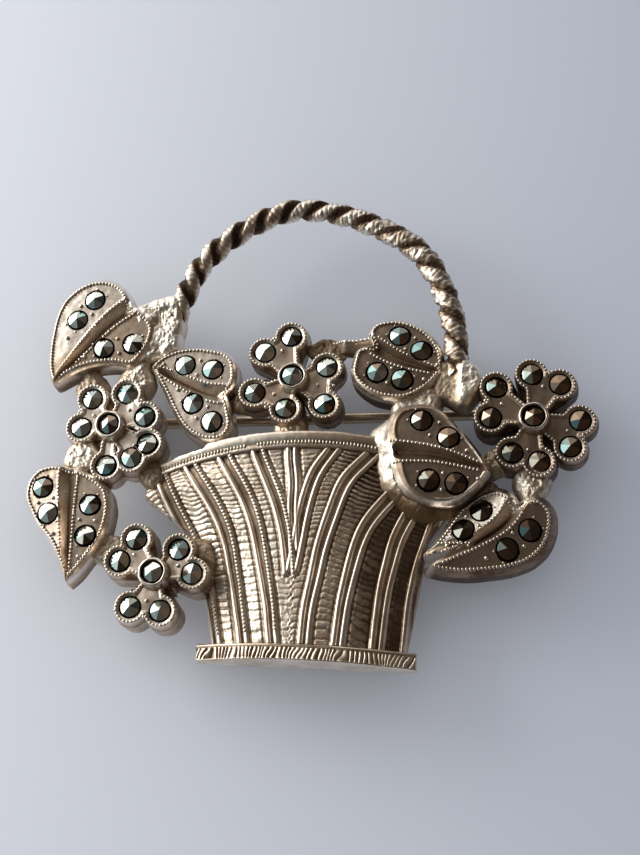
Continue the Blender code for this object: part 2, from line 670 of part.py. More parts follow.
def main():
    clear_scene()
    silver = new_material("cast_silver", (0.62, 0.56, 0.48), 0.38, 0.92)
    basket_silver = new_material("basket_silver", (0.60, 0.52, 0.42), 0.42, 0.92)
    rope_silver = new_material("rope_silver", (0.52, 0.45, 0.37), 0.5, 0.9)
    marcasite = new_material("marcasite", (0.16, 0.15, 0.13), 0.12, 0.85)
    pin_metal = new_material("pin_metal", (0.55, 0.52, 0.47), 0.3, 1.0)

    objects = {
        "basket_panel": finish("basket_panel", panel_bmesh(), basket_silver),
        "basket_rim": finish("basket_rim", rim_bmesh(), basket_silver),
        "basket_foot_band": finish("basket_foot_band", foot_bmesh(), basket_silver),
    }
    clear = {
        "basket_panel": as_cutter(finish("clear_basket_panel", panel_bmesh(GAP), silver)),
        "basket_rim": as_cutter(finish("clear_basket_rim", rim_bmesh(GAP), silver)),
    }
    for name, spec in LEAVES.items():
        top = LEAF_TOPS.get(name, LEAF_TOP)
        objects[name] = finish(name, leaf_bmesh(spec, top), silver)
        clear[name] = as_cutter(finish(f"clear_{name}", leaf_bmesh(spec, top, GAP), silver))
    for name, spec in FLOWERS.items():
        top = FLOWER_TOPS.get(name, FLOWER_TOP)
        objects[name] = finish(name, flower_bmesh(spec, top), silver)
        clear[name] = as_cutter(finish(f"clear_{name}", flower_bmesh(spec, top, GAP), silver))
    for name, (outline, top) in BRIDGES.items():
        curve = smooth_curve((*outline, outline[0]), 2 * len(outline))[:-1]
        objects[name] = finish(name, prism([tuple(p) for p in curve], 0.2, top), silver)

    for name, neighbours in CLEAR_OF.items():
        for neighbour in neighbours:
            boolean(objects[name], clear[neighbour], "DIFFERENCE")
    rope_radius = STRAND_OFFSET + STRAND_RADIUS + 2 * GAP
    rope_room = as_cutter(finish("clear_rope", tube_bmesh(rope_room_path(), rope_radius, 14), silver))
    for name in ("handle_socket_left", "handle_socket_right"):
        boolean(objects[name], rope_room, "DIFFERENCE")
    finish("handle_strand_a", tube_bmesh(strand_path(0.0), STRAND_RADIUS, STRAND_SIDES), rope_silver)
    finish("handle_strand_b", tube_bmesh(strand_path(math.pi), STRAND_RADIUS, STRAND_SIDES), rope_silver)

    turn = 0.0
    for name, spec in LEAVES.items():
        top = LEAF_TOPS.get(name, LEAF_TOP)
        for side, stones in zip(("a", "b"), spec["stones"]):
            turn += 0.37
            add_seat_and_stones(f"{name}_stones_{side}", objects[name], stones, top, marcasite, turn)
    for name, spec in FLOWERS.items():
        top = FLOWER_TOPS.get(name, FLOWER_TOP)
        cx, cz = spec["centre"]
        for number, petal in enumerate(spec["petals"], 1):
            turn += 0.37
            stones = [(cx + x, cz + z) for x, z in petal]
            add_seat_and_stones(f"{name}_stones_{number}", objects[name], stones, top, marcasite, turn)
        add_centre(name, spec, top, silver, marcasite, turn + 0.2)

    add_hinge(pin_metal)
    add_catch(pin_metal)


main()
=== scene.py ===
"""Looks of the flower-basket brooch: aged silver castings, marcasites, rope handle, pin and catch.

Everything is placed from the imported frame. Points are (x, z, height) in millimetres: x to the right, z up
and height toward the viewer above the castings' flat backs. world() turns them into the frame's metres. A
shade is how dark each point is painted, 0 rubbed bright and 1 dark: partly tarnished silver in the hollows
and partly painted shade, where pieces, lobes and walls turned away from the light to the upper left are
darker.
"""

import math

import bmesh
import bpy
import numpy as np
from mathutils import Matrix, Vector

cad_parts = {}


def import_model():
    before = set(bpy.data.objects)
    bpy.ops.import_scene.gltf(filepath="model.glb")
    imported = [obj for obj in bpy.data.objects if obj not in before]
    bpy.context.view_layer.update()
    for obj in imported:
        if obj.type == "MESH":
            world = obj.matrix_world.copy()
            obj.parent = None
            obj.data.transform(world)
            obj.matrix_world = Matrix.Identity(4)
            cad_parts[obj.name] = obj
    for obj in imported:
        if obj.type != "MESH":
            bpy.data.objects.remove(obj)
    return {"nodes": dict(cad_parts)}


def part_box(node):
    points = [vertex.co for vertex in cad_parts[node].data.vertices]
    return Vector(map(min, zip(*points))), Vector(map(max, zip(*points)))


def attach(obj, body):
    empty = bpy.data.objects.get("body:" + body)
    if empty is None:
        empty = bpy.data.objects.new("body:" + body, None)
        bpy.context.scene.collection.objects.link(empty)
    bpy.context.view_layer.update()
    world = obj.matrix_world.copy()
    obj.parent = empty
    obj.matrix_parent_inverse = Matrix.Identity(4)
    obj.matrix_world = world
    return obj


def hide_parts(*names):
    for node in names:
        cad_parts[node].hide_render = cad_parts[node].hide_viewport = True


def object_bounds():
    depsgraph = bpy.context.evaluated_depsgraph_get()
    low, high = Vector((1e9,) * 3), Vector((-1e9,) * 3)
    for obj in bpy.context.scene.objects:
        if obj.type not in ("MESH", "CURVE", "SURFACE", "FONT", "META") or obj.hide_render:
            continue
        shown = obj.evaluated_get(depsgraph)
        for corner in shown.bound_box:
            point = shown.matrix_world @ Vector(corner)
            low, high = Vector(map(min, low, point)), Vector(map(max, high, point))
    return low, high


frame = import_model()
cad_low, cad_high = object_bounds()

MM = 0.001
TURN = 2 * math.pi
CAD_CHAMFER = 0.35          # the CAD leaves and flowers break their top edge by this much

LEAVES = ("leaf_upper_left", "leaf_inner_left", "leaf_top_right", "leaf_centre_right",
          "leaf_lower_left", "leaf_lower_right")
FLOWERS = ("flower_top", "flower_right", "flower_left", "flower_bottom_left")
SOCKETS = ("handle_socket_left", "handle_socket_right", "twig_left", "twig_right")
STRANDS = ("handle_strand_a", "handle_strand_b")

STONE_RADIUS = 0.66
STONE_CROWN = 0.31
STONE_GIRDLE = 0.16
STONE_PROUD = 0.36          # apex above the plane that the seats are cut in
STONE_SIDES = 24
FACETS = 6
SEAT_RADIUS = 0.80
SEAT_DEPTH = 0.46
SEAT_SIDES = 36
# Seats are painted this dark inside: tarnished silver and painted shade.
SEAT_SHADE = 1.6

BEAD_PITCH = 0.25
BEAD_SIDES = 7
PLANE_SUNK = 0.12           # the bright-cut planes lie this far under the edges round them


# ---------------------------------------------------------------- small maths

def world(points):
    """(x, z, height) in millimetres to the frame's metres."""
    points = np.asarray(points, float)
    return np.stack((points[..., 0], -points[..., 2], points[..., 1]), -1) * MM


def smoothstep(low, high, value):
    t = np.clip((value - low) / (high - low), 0.0, 1.0)
    return t * t * (3 - 2 * t)


def hashed(ix, iy, seed):
    """Repeatable pseudo-random numbers between 0 and 1 on an integer lattice."""
    value = np.sin(ix * 127.1 + iy * 311.7 + seed * 74.7) * 43758.5453
    return value - np.floor(value)


def noise(x, y, scale, seed=0.0):
    """Smooth value noise between -1 and 1, with features about one scale apart."""
    x = np.asarray(x, float) / scale
    y = np.asarray(y, float) / scale
    ix, iy = np.floor(x), np.floor(y)
    fx = smoothstep(0, 1, x - ix)
    fy = smoothstep(0, 1, y - iy)
    low = hashed(ix, iy, seed) * (1 - fx) + hashed(ix + 1, iy, seed) * fx
    high = hashed(ix, iy + 1, seed) * (1 - fx) + hashed(ix + 1, iy + 1, seed) * fx
    return 2 * (low * (1 - fy) + high * fy) - 1


def resample(points, count):
    """Catmull-Rom curve through the points, as evenly spaced points along it."""
    points = np.asarray(points, float)
    knots = np.vstack((2 * points[0] - points[1], points, 2 * points[-1] - points[-2]))
    t = np.linspace(0, 1, 16, endpoint=False)[:, None]
    fine = []
    for a, b, c, d in zip(knots, knots[1:], knots[2:], knots[3:]):
        fine.append(0.5 * (2 * b + (c - a) * t + (2 * a - 5 * b + 4 * c - d) * t ** 2
                           + (3 * b - a - 3 * c + d) * t ** 3))
    fine = np.vstack((*fine, points[-1]))
    reach = reach_along(fine)
    return at_reach(fine, reach, np.linspace(0, reach[-1], count))


def reach_along(line):
    """Distance travelled along a polyline at each of its points."""
    return np.concatenate(([0], np.cumsum(np.linalg.norm(np.diff(line, axis=0), axis=1))))


def at_reach(line, reach, target):
    return np.stack([np.interp(target, reach, line[:, k]) for k in range(line.shape[1])], -1)


def distance_to_line(points, line):
    """Shortest distance from each point to a polyline."""
    points = np.asarray(points, float)
    best = np.full(points.shape[:-1], np.inf)
    for a, b in zip(line, line[1:]):
        ab = b - a
        t = np.clip(((points - a) @ ab) / max(ab @ ab, 1e-12), 0, 1)
        best = np.minimum(best, np.linalg.norm(points - (a + t[..., None] * ab), axis=-1))
    return best


def bearing(points, centre):
    return np.arctan2(points[:, 1] - centre[1], points[:, 0] - centre[0])


def circle(count, start=0.0):
    return np.linspace(start, start + TURN, count, endpoint=False)


def polar(centre, angle, reach):
    """Points (x, z) at the given angles and reaches from a centre."""
    return centre[0] + np.cos(angle) * reach, centre[1] + np.sin(angle) * reach


def smoothed(values, weights, **past_ends):
    """Values averaged with their neighbours; past_ends is how np.pad carries them on."""
    weights = np.asarray(weights, float) / np.sum(weights)
    return np.convolve(np.pad(values, len(weights) // 2, **past_ends), weights, "valid")


def smoothed_line(line, weights, **past_ends):
    return np.stack([smoothed(line[:, k], weights, **past_ends) for k in (0, 1)], -1)


# ---------------------------------------------------------------- reading the frame

def cad_points(node, digits=4):
    """A CAD node's vertices as unique (x, z, height) rows in millimetres."""
    co = np.array([v.co for v in frame["nodes"][node].data.vertices], float) / MM
    return np.unique(np.round(np.stack((co[:, 0], co[:, 2], -co[:, 1]), -1), digits), axis=0)


def cad_top(node):
    return -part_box(node)[0].y / MM


def stones_of(prefix):
    """The stones (x, z, apex height) of each CAD node with this prefix, as (node, rows) pairs."""
    pairs = []
    for node in sorted(frame["nodes"]):
        if node.startswith(f"{prefix}_stones_"):
            points = cad_points(node)
            apexes = points[points[:, 2] > points[:, 2].max() - 0.01]
            pairs.append((node, apexes[np.argsort(apexes[:, 0])]))
    return pairs


def cad_outline(node, height, centre, within=0.004):
    """The CAD piece's outline at one height, in order round the centre."""
    points = cad_points(node)
    ring = points[np.abs(points[:, 2] - height) < within][:, :2]
    return ring[np.argsort(bearing(ring, centre))]


# ---------------------------------------------------------------- making meshes

def new_mesh(name, points, faces):
    """A mesh from (x, z, height) points, with all its faces turned outward."""
    mesh = bpy.data.meshes.new(name)
    mesh.from_pydata(world(points).tolist(), [], [tuple(int(i) for i in face) for face in faces])
    work = bmesh.new()
    work.from_mesh(mesh)
    bmesh.ops.recalc_face_normals(work, faces=work.faces)
    work.to_mesh(mesh)
    work.free()
    return mesh


def mark(mesh, name, domain, values):
    """Store a number for each point or face, which the material reads by its name."""
    attribute = mesh.attributes.new(name, "FLOAT", domain)
    attribute.data.foreach_set("value", np.asarray(values, np.float32).ravel())


def new_object(name, data):
    obj = bpy.data.objects.new(name, data)
    bpy.context.scene.collection.objects.link(obj)
    return obj


def add_piece(name, mesh, slot, replaces=None, body="brooch"):
    """A visible piece that rides on its body, in place of the CAD node that it replaces."""
    mesh.materials.append(MATERIALS[slot])
    obj = new_object(name, mesh)
    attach(obj, body)
    if replaces:
        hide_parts(replaces)
    return obj


def add_silver(name, points, faces, shade, slot, replaces=None):
    """A smooth silver piece from its points, faces and the shade of each point."""
    mesh = new_mesh(name, points, faces)
    # Each point's darkness, tarnished silver and painted shade together, goes to the material under this
    # name.
    mark(mesh, "tarnish_and_painted_shade", "POINT", shade)
    mesh.shade_smooth()
    return add_piece(name, mesh, slot, replaces)


def grid_faces(rows, columns, start=0, wrap=False):
    """Quads between rows of points stored one after the other."""
    faces = []
    for r in range(rows - 1):
        a = start + r * columns
        b = a + columns
        for c in range(columns if wrap else columns - 1):
            d = (c + 1) % columns
            faces.append((a + c, a + d, b + d, b + c))
    return faces


def tube_faces(rings, sides):
    """Faces of a tube of rings stored one after the other, closed at both ends."""
    last = (rings - 1) * sides
    return grid_faces(rings, sides, wrap=True) + [tuple(range(sides)), tuple(range(last, last + sides))]


def swept(rows):
    """A closed bar from lines of points that run along it, given in order round its section."""
    return np.array(rows).transpose(1, 0, 2).reshape(-1, 3), tube_faces(len(rows[0]), len(rows))


def walled(points, faces, loop, rows):
    """Carry a sheet's edge loop down through rows of points, and close it with one flat back."""
    points = [points]
    count = sum(len(part) for part in points)
    for row in rows:
        ring = list(range(count, count + len(row)))
        faces += zip(loop, loop[1:] + loop[:1], ring[1:] + ring[:1], ring)
        points.append(row)
        count += len(row)
        loop = ring
    return np.vstack(points), faces + [tuple(loop)]


def domed(centre, x, z, height, base, seed, batter):
    """A solid whose face is rings of points round its centre, with an uneven wall and a flat back."""
    rings = [np.column_stack((x[k], z[k], height[k])) for k in range(1, len(x))]
    rings += wall_rows(rings[-1], centre, base, seed, batter)
    count = x.shape[1]
    last = 1 + (len(rings) - 1) * count
    faces = grid_faces(len(rings), count, start=1, wrap=True)
    faces += [(0, 1 + k, 1 + (k + 1) % count) for k in range(count)]
    faces.append(tuple(range(last, last + count)))
    return np.vstack([(*centre, height[0].mean())] + rings), faces


WALL_SHARES = (0.06, 0.14, 0.3, 0.5, 0.7, 0.88, 0.97, 1.0)


def wall_rows(edge, centre, base, seed, batter=0.0):
    """Rows of points down a casting's wall, slightly uneven as a filed edge is."""
    outward = edge[:, :2] - centre
    outward = outward / np.maximum(np.linalg.norm(outward, axis=1), 1e-9)[:, None]
    rows = []
    for step, share in enumerate(WALL_SHARES):
        height = edge[:, 2] + (base - edge[:, 2]) * share
        swell = 0.07 * math.sin(math.pi * min(1.0, share * 2) / 2) + batter * share - 0.10 * (share > 0.98)
        swell = swell + 0.022 * noise(edge[:, 0], edge[:, 1] + 2.0 * step, 0.7, seed)
        rows.append(np.column_stack((edge[:, :2] + outward * swell[:, None], height)))
    return rows


def joined(parts):
    """Points and faces of several parts as one."""
    points, faces = [], []
    start = 0
    for co, rings in parts:
        points.append(co)
        faces += [tuple(i + start for i in ring) for ring in rings]
        start += len(co)
    return np.vstack(points), faces


def bead_template():
    """Unit ball for milgrain grains."""
    rings = []
    for latitude in np.radians((-50, -10, 30, 65)):
        x, z = polar((0, 0), circle(BEAD_SIDES), math.cos(latitude))
        rings.append(np.column_stack((x, z, np.full(BEAD_SIDES, math.sin(latitude)))))
    last = 3 * BEAD_SIDES
    peak = last + BEAD_SIDES
    faces = grid_faces(4, BEAD_SIDES, wrap=True)
    faces += [(last + k, last + (k + 1) % BEAD_SIDES, peak) for k in range(BEAD_SIDES)]
    faces += [((k + 1) % BEAD_SIDES, k, peak + 1) for k in range(BEAD_SIDES)]
    return np.vstack((*rings, (0, 0, 1), (0, 0, -1))), faces


BEAD_POINTS, BEAD_FACES = bead_template()


def add_beads(name, beads, sizes, slot):
    """One piece of many silver grains: (x, z, height, heading) rows, and sizes along, across and up."""
    c, s = np.cos(beads[:, 3:]), np.sin(beads[:, 3:])
    x, z, up = np.moveaxis(BEAD_POINTS * sizes[:, None, :], -1, 0)
    points = np.stack((x * c - z * s, x * s + z * c, up), -1) + beads[:, None, :3]
    points, faces = joined((grain, BEAD_FACES) for grain in points)
    # Each grain is painted lighter on top and darker low down: rubbed tops, tarnished silver and painted
    # shade between the grains.
    shade = np.tile(np.clip(0.40 - 0.75 * BEAD_POINTS[:, 2], 0, 1), len(beads))
    return add_silver(name, points, faces, shade, slot)


def along(line, pitch, first=0.0, last=1.0):
    """Evenly pitched points along a polyline, each with the line's heading as a fourth number."""
    line = np.asarray(line, float)
    reach = reach_along(line)
    count = max(2, int(reach[-1] * (last - first) / pitch))
    target = np.linspace(reach[-1] * first, reach[-1] * last, count)
    shifted = (np.clip(target + shift, 0, reach[-1]) for shift in (0, 0.12, -0.12))
    at, ahead, behind = (at_reach(line, reach, where) for where in shifted)
    return np.column_stack((at, np.arctan2(ahead[:, 1] - behind[:, 1], ahead[:, 0] - behind[:, 0])))


def grain_sizes(beads, seed, size=(0.10, 0.14, 0.11)):
    """Milgrain grains differ a little in size, and some are worn nearly flat."""
    x, z = beads[:, 0], beads[:, 1]
    wear = 0.92 + 0.18 * noise(x, z, 0.5, seed) + 0.10 * noise(x, z, 2.2, seed)
    return np.column_stack((np.full_like(wear, size[0]), size[1] * wear, size[2] * wear))


def far_from(beads, places, apart):
    """The beads that are further than a distance from every place."""
    gaps = np.hypot(beads[:, :1] - places[:, 0], beads[:, 1:2] - places[:, 1])
    return beads[gaps.min(1) > apart]


def cut_seats(obj, stones, plane):
    """Drill a flat-bottomed seat for each stone; the walls inside are painted very dark, tarnished silver and
    painted shade deep in the seat.
    """
    drills = []
    for stone in stones:
        x, z = polar(stone, circle(SEAT_SIDES), SEAT_RADIUS)
        levels = (plane - SEAT_DEPTH, plane + 1.2)
        ends = [np.column_stack((x, z, np.full(SEAT_SIDES, level))) for level in levels]
        drills.append((np.vstack(ends), tube_faces(2, SEAT_SIDES)))
    cutter = new_object("seat_cutter", new_mesh("seat_cutter", *joined(drills)))
    modifier = obj.modifiers.new("seats", "BOOLEAN")
    modifier.operation = "DIFFERENCE"
    modifier.solver = "MANIFOLD"
    modifier.object = cutter
    graph = bpy.context.evaluated_depsgraph_get()
    old = obj.data
    result = bpy.data.meshes.new_from_object(obj.evaluated_get(graph))
    obj.modifiers.clear()
    obj.data = result
    bpy.data.meshes.remove(old)
    bpy.data.objects.remove(cutter)
    co = np.array([v.co for v in result.vertices], float) / MM
    tarnish_and_painted_shade = result.attributes["tarnish_and_painted_shade"].data
    values = np.zeros(len(co), np.float32)
    tarnish_and_painted_shade.foreach_get("value", values)
    # Paint each seat's inside dark: tarnished silver and painted shade.
    for x, z in stones:
        near = np.hypot(co[:, 0] - x, co[:, 2] - z) < SEAT_RADIUS + 0.02
        values[near & (-co[:, 1] < plane - 0.03)] = SEAT_SHADE
    tarnish_and_painted_shade.foreach_set("value", values)
    result.set_sharp_from_angle(angle=math.radians(50))


# ---------------------------------------------------------------- materials

class Nodes:
    """Short forms for building the node tree of a material or a world."""

    def __init__(self, owner):
        owner.use_nodes = True
        self.tree = owner.node_tree

    def put(self, node, inputs):
        """Set a node's inputs: another node's socket is linked, and a colour gets its alpha."""
        for key, value in inputs.items():
            socket = node.inputs[key]
            if isinstance(value, bpy.types.NodeSocket):
                self.tree.links.new(value, socket)
            else:
                socket.default_value = (*value, 1.0) if socket.type == "RGBA" else value

    def add(self, kind, output, inputs=None, **settings):
        """Add a node and give back one of its outputs."""
        node = self.tree.nodes.new(f"ShaderNode{kind}")
        for key, value in settings.items():
            setattr(node, key, value)
        self.put(node, inputs or {})
        return node.outputs[output]

    def surface(self, **inputs):
        """Inputs of the material's shader, with _ for a space in their names."""
        self.put(self.tree.nodes["Principled BSDF"], {key.replace("_", " "): inputs[key] for key in inputs})

    def noise(self, scale, detail=3.0, roughness=0.55, stretch=None):
        place = self.add("TexCoord", "Object")
        if stretch:
            place = self.add("Mapping", "Vector", {"Vector": place, "Scale": stretch})
        return self.add("TexNoise", "Fac", {"Vector": place, "Scale": scale, "Detail": detail,
                                            "Roughness": roughness})

    def ramp(self, value, *stops):
        colour = self.add("ValToRGB", "Color", {"Fac": value})
        elements = colour.node.color_ramp.elements
        while len(elements) < len(stops):
            elements.new(0.5)
        for element, (position, tone) in zip(elements, stops):
            element.position = position
            element.color = (*tone, 1.0)
        return colour

    def map(self, value, low, high, to_low=0.0, to_high=1.0, kind="LINEAR"):
        ends = {"Value": value, "From Min": low, "From Max": high, "To Min": to_low, "To Max": to_high}
        return self.add("MapRange", "Result", ends, interpolation_type=kind)

    def math(self, operation, a, b):
        return self.add("Math", "Value", {0: a, 1: b}, operation=operation)

    def mix(self, factor, a, b):
        return self.add("Mix", "Result", {"Factor": factor, "A": a, "B": b}, data_type="RGBA")

    def bump(self, height, strength, distance):
        self.surface(Normal=self.add("Bump", "Normal", {"Strength": strength, "Distance": distance,
                                                        "Height": height}))


def aged_silver(name, clean, tarnished, deep, rough, grain):
    """Worn silver: bright where it is rubbed, warm and tarnished in the hollows, darker also where a piece's
    points carry painted shade, and a fine cast grain.
    """
    material = bpy.data.materials.new(name)
    n = Nodes(material)
    hollow = n.map(n.add("NewGeometry", "Pointiness"), 0.50, 0.43)
    # The pieces' per-point darkness: tarnished silver and painted shade.
    marked = n.add("Attribute", "Fac", attribute_name="tarnish_and_painted_shade")
    patches = n.noise(520.0, 4.0, 0.6)
    fine = n.noise(4200.0, 3.0, 0.6)
    amount = n.math("MAXIMUM", marked, n.math("MULTIPLY", hollow, 0.7))
    amount = n.math("ADD", amount, n.map(patches, 0.35, 0.75, -0.12, 0.22))
    amount = n.math("ADD", amount, n.map(fine, 0.3, 0.7, -0.05, 0.05))
    colour = n.ramp(n.map(amount, 0.0, 1.5), (0.0, clean), (0.2475, tarnished), (0.62, deep),
                    (0.95, (0.012, 0.009, 0.007)))
    roughness = n.map(amount, 0.0, 1.0, rough, rough + 0.18)
    roughness = n.math("ADD", roughness, n.map(fine, 0.3, 0.7, -0.06, 0.06))
    n.surface(Base_Color=colour, Roughness=roughness, Metallic=n.map(amount, 0.3, 1.1, 1.0, 0.85))
    height = n.math("ADD", n.math("MULTIPLY", fine, 0.5), n.math("MULTIPLY", n.noise(1500.0), 0.5))
    n.bump(height, grain, 0.00006)
    return material


def marcasite_material():
    """Polished pyrite, its facets painted from black through brown, teal and grey to white: painted
    reflections, as each facet of a real stone mirrors one direction, so some flash white and some stay black.
    """
    material = bpy.data.materials.new("marcasite")
    n = Nodes(material)
    painted_reflection = n.add("Attribute", "Fac", attribute_name="facet")
    # Painted reflections: each facet's colour from black to white, with brown and teal between.
    colour = n.ramp(painted_reflection, (0.0, (0.10, 0.08, 0.07)), (0.16, (0.32, 0.22, 0.15)), (0.30, (0.22, 0.36, 0.36)),
                    (0.42, (0.52, 0.60, 0.57)), (0.65, (0.80, 0.82, 0.76)), (1.0, (0.95, 0.95, 0.90)))
    flecks = n.noise(5200.0, 2.0, 0.5)
    colour = n.mix(n.map(flecks, 0.62, 0.72, 0.0, 0.25), colour, (0.06, 0.05, 0.04))
    n.surface(Base_Color=colour, Metallic=1.0, Roughness=n.map(flecks, 0.3, 0.7, 0.06, 0.14))
    n.bump(n.noise(2600.0, 2.0), 0.06, 0.00002)
    return material


def pin_material():
    """Drawn nickel-silver wire and fittings with fine draw lines."""
    material = bpy.data.materials.new("pin_metal")
    n = Nodes(material)
    lines = n.noise(900.0, 3.0, 0.6, stretch=(0.15, 6.0, 6.0))
    amount = n.map(n.math("ADD", lines, n.noise(400.0)), 0.75, 1.3)
    colour = n.ramp(amount, (0.0, (0.66, 0.58, 0.46)), (1.0, (0.42, 0.33, 0.23)))
    n.surface(Base_Color=colour, Metallic=1.0, Roughness=n.map(amount, 0.0, 1.0, 0.22, 0.42))
    n.bump(lines, 0.25, 0.00003)
    return material


CAST, BASKET, ROPE, SOLDER = "cast_silver", "basket_silver", "rope_silver", "solder_silver"
# Each silver: its clean, tarnished and deeply tarnished colours, which also serve for painted shade,
# roughness and strength of grain
SILVERS = {
    CAST: ((0.88, 0.81, 0.73), (0.58, 0.46, 0.35), (0.13, 0.08, 0.05), 0.30, 0.22),
    BASKET: ((0.89, 0.82, 0.72), (0.57, 0.45, 0.34), (0.12, 0.075, 0.045), 0.36, 0.35),
    ROPE: ((0.86, 0.80, 0.72), (0.44, 0.34, 0.25), (0.09, 0.055, 0.035), 0.36, 0.6),
    SOLDER: ((0.93, 0.88, 0.80), (0.60, 0.50, 0.38), (0.18, 0.11, 0.06), 0.48, 0.8),
}
MATERIALS = {name: aged_silver(name, *looks) for name, looks in SILVERS.items()}
MATERIALS["marcasite"] = marcasite_material()
MATERIALS["pin_metal"] = pin_material()


# ---------------------------------------------------------------- stones

# Painted reflection tone of each stone's girdle side: dark.
SIDE_PAINTED_REFLECTION = 0.1


def stone_mesh(places, seed):
    """Rose-cut marcasites: six facets to a point over a round girdle, each set a little askew."""
    angle = circle(STONE_SIDES)
    within = angle % (TURN / FACETS) - TURN / FACETS / 2
    drop = STONE_CROWN * np.cos(within) / math.cos(TURN / FACETS / 2)
    per_facet = STONE_SIDES // FACETS
    faces = grid_faces(2, STONE_SIDES, wrap=True)
    for facet in range(FACETS):
        ring = [STONE_SIDES + (facet * per_facet + k) % STONE_SIDES for k in range(per_facet + 1)]
        faces.append((2 * STONE_SIDES + facet, *ring))
    faces.append(tuple(range(STONE_SIDES)))
    parts, painted_reflections = [], []
    for number, (x, z, apex) in enumerate(places):
        turn = hashed(number, 3, seed) * math.pi / 3
        tilt_x, tilt_z = ((hashed(number, lane, seed) - 0.5) * 0.22 for lane in (5, 7))
        dx, dz = polar((0, 0), angle + turn, STONE_RADIUS)
        underside = np.full_like(dx, apex - STONE_CROWN - STONE_GIRDLE)
        low = np.column_stack((x + dx * 0.96, z + dz * 0.96, underside))
        edge = np.column_stack((x + dx, z + dz, apex - drop + tilt_x * dx + tilt_z * dz))
        parts.append((np.vstack((low, edge, [(x, z, apex)] * FACETS)), faces))
        facet = np.arange(FACETS)
        # Painted light: facets that face the light to the left are painted brighter, and stones further right
        # are painted duller as painted shade.
        lit = 0.5 - 0.5 * np.cos((facet + 0.5) * math.pi / 3 + turn)
        painted_reflection = 0.30 * lit + hashed(number * 7 + facet, 11, seed) * (1.0 - 0.30 * lit)
        shaded_to_right = 1 - (0.93 - 0.24 * lit) * smoothstep(-2.0, 11.0, x)
        painted_reflections += [SIDE_PAINTED_REFLECTION] * STONE_SIDES + list(painted_reflection * shaded_to_right) + [0.0]
    return *joined(parts), painted_reflections


def add_stones(node, places, seed):
    points, faces, painted_reflections = stone_mesh(places, seed)
    mesh = new_mesh(f"{node}_cut", points, faces)
    mark(mesh, "facet", "FACE", painted_reflections)
    return add_piece(f"{node}_cut", mesh, "marcasite", node)


# ---------------------------------------------------------------- leaves

LEAF_STATIONS = 110
LEAF_ROWS = 60
GROW = 0.12                 # the cast leaves are this much fuller than the CAD outline
VEIN_AT_NOTCH = 0.74
VEIN_AT_TIP = 0.12
RAISED_LEAF = "leaf_centre_right"
# Each leaf's bevel from outline to sunk face: width at the notch and at the tip, drop, and whether grains run
# along it. Then the slope of its lobes away from the vein, and how blunt its tip is.
LEAF_LOOKS = {
    "leaf_upper_left": (0.36, 0.30, 0.36, True, 0.03, 9),
    "leaf_inner_left": (0.32, 0.24, 0.32, True, 0.06, 3),
    "leaf_top_right": (0.40, 0.28, 0.40, True, 0.08, 3),
    "leaf_centre_right": (1.15, 0.26, 0.62, False, 0.10, 3),
    "leaf_lower_left": (0.34, 0.28, 0.34, True, 0.06, 3),
    "leaf_lower_right": (0.62, 0.34, 0.50, True, 0.30, 3),
}
# How much darker each casting's sunk face is painted, tarnished silver and painted shade together, darkest on
# the castings to the right, away from the light; and how far the face leans to the right and up, as slopes
TARNISH_SHADE_AND_LEAN = {
    "leaf_upper_left": (0.30, -0.02, 0.00),
    "leaf_inner_left": (0.0, -0.03, 0.00),
    "leaf_top_right": (0.66, 0.16, 0.06),
    "leaf_centre_right": (0.62, 0.14, -0.02),
    "leaf_lower_left": (0.22, -0.05, -0.02),
    "leaf_lower_right": (0.56, -0.02, 0.00),
    "flower_top": (0.24, 0.05, 0.06),
    "flower_right": (0.58, 0.14, 0.00),
    "flower_left": (0.0, -0.05, 0.00),
    "flower_bottom_left": (0.14, -0.04, -0.04),
}
# Leaves of which only the lower right lobe, turned away from the light, is painted dark as painted shade, and
# how dark that lobe's edge is painted beside its face
SHADED_LOWER_LOBES = {"leaf_upper_left": 0.4, "leaf_lower_right": 1.3}
# Walls are painted darker by this much times their casting's darkening: painted shade on walls turned from
# the light.
WALL_PAINTED_SHADE = 1.7
BACK_SHADE = 0.45


def lean(pieces, node, centre, top, vein=None, fold=0.0):
    """Tilt a casting's face with everything set in it, and fold it along its vein, leaving its back flat."""
    _, right, up = TARNISH_SHADE_AND_LEAN[node]
    for obj in pieces:
        co = np.zeros(len(obj.data.vertices) * 3, np.float32)
        obj.data.vertices.foreach_get("co", co)
        co = co.reshape(-1, 3)
        fall = right * (co[:, 0] / MM - centre[0]) + up * (co[:, 2] / MM - centre[1])
        if fold:
            fall = fall + fold * (distance_to_line(co[:, ::2] / MM, vein[::5]) - 1.2)
        co[:, 1] += fall * np.clip(-co[:, 1] / MM / top, 0, 1) * MM
        obj.data.vertices.foreach_set("co", co.ravel())
        obj.data.update()


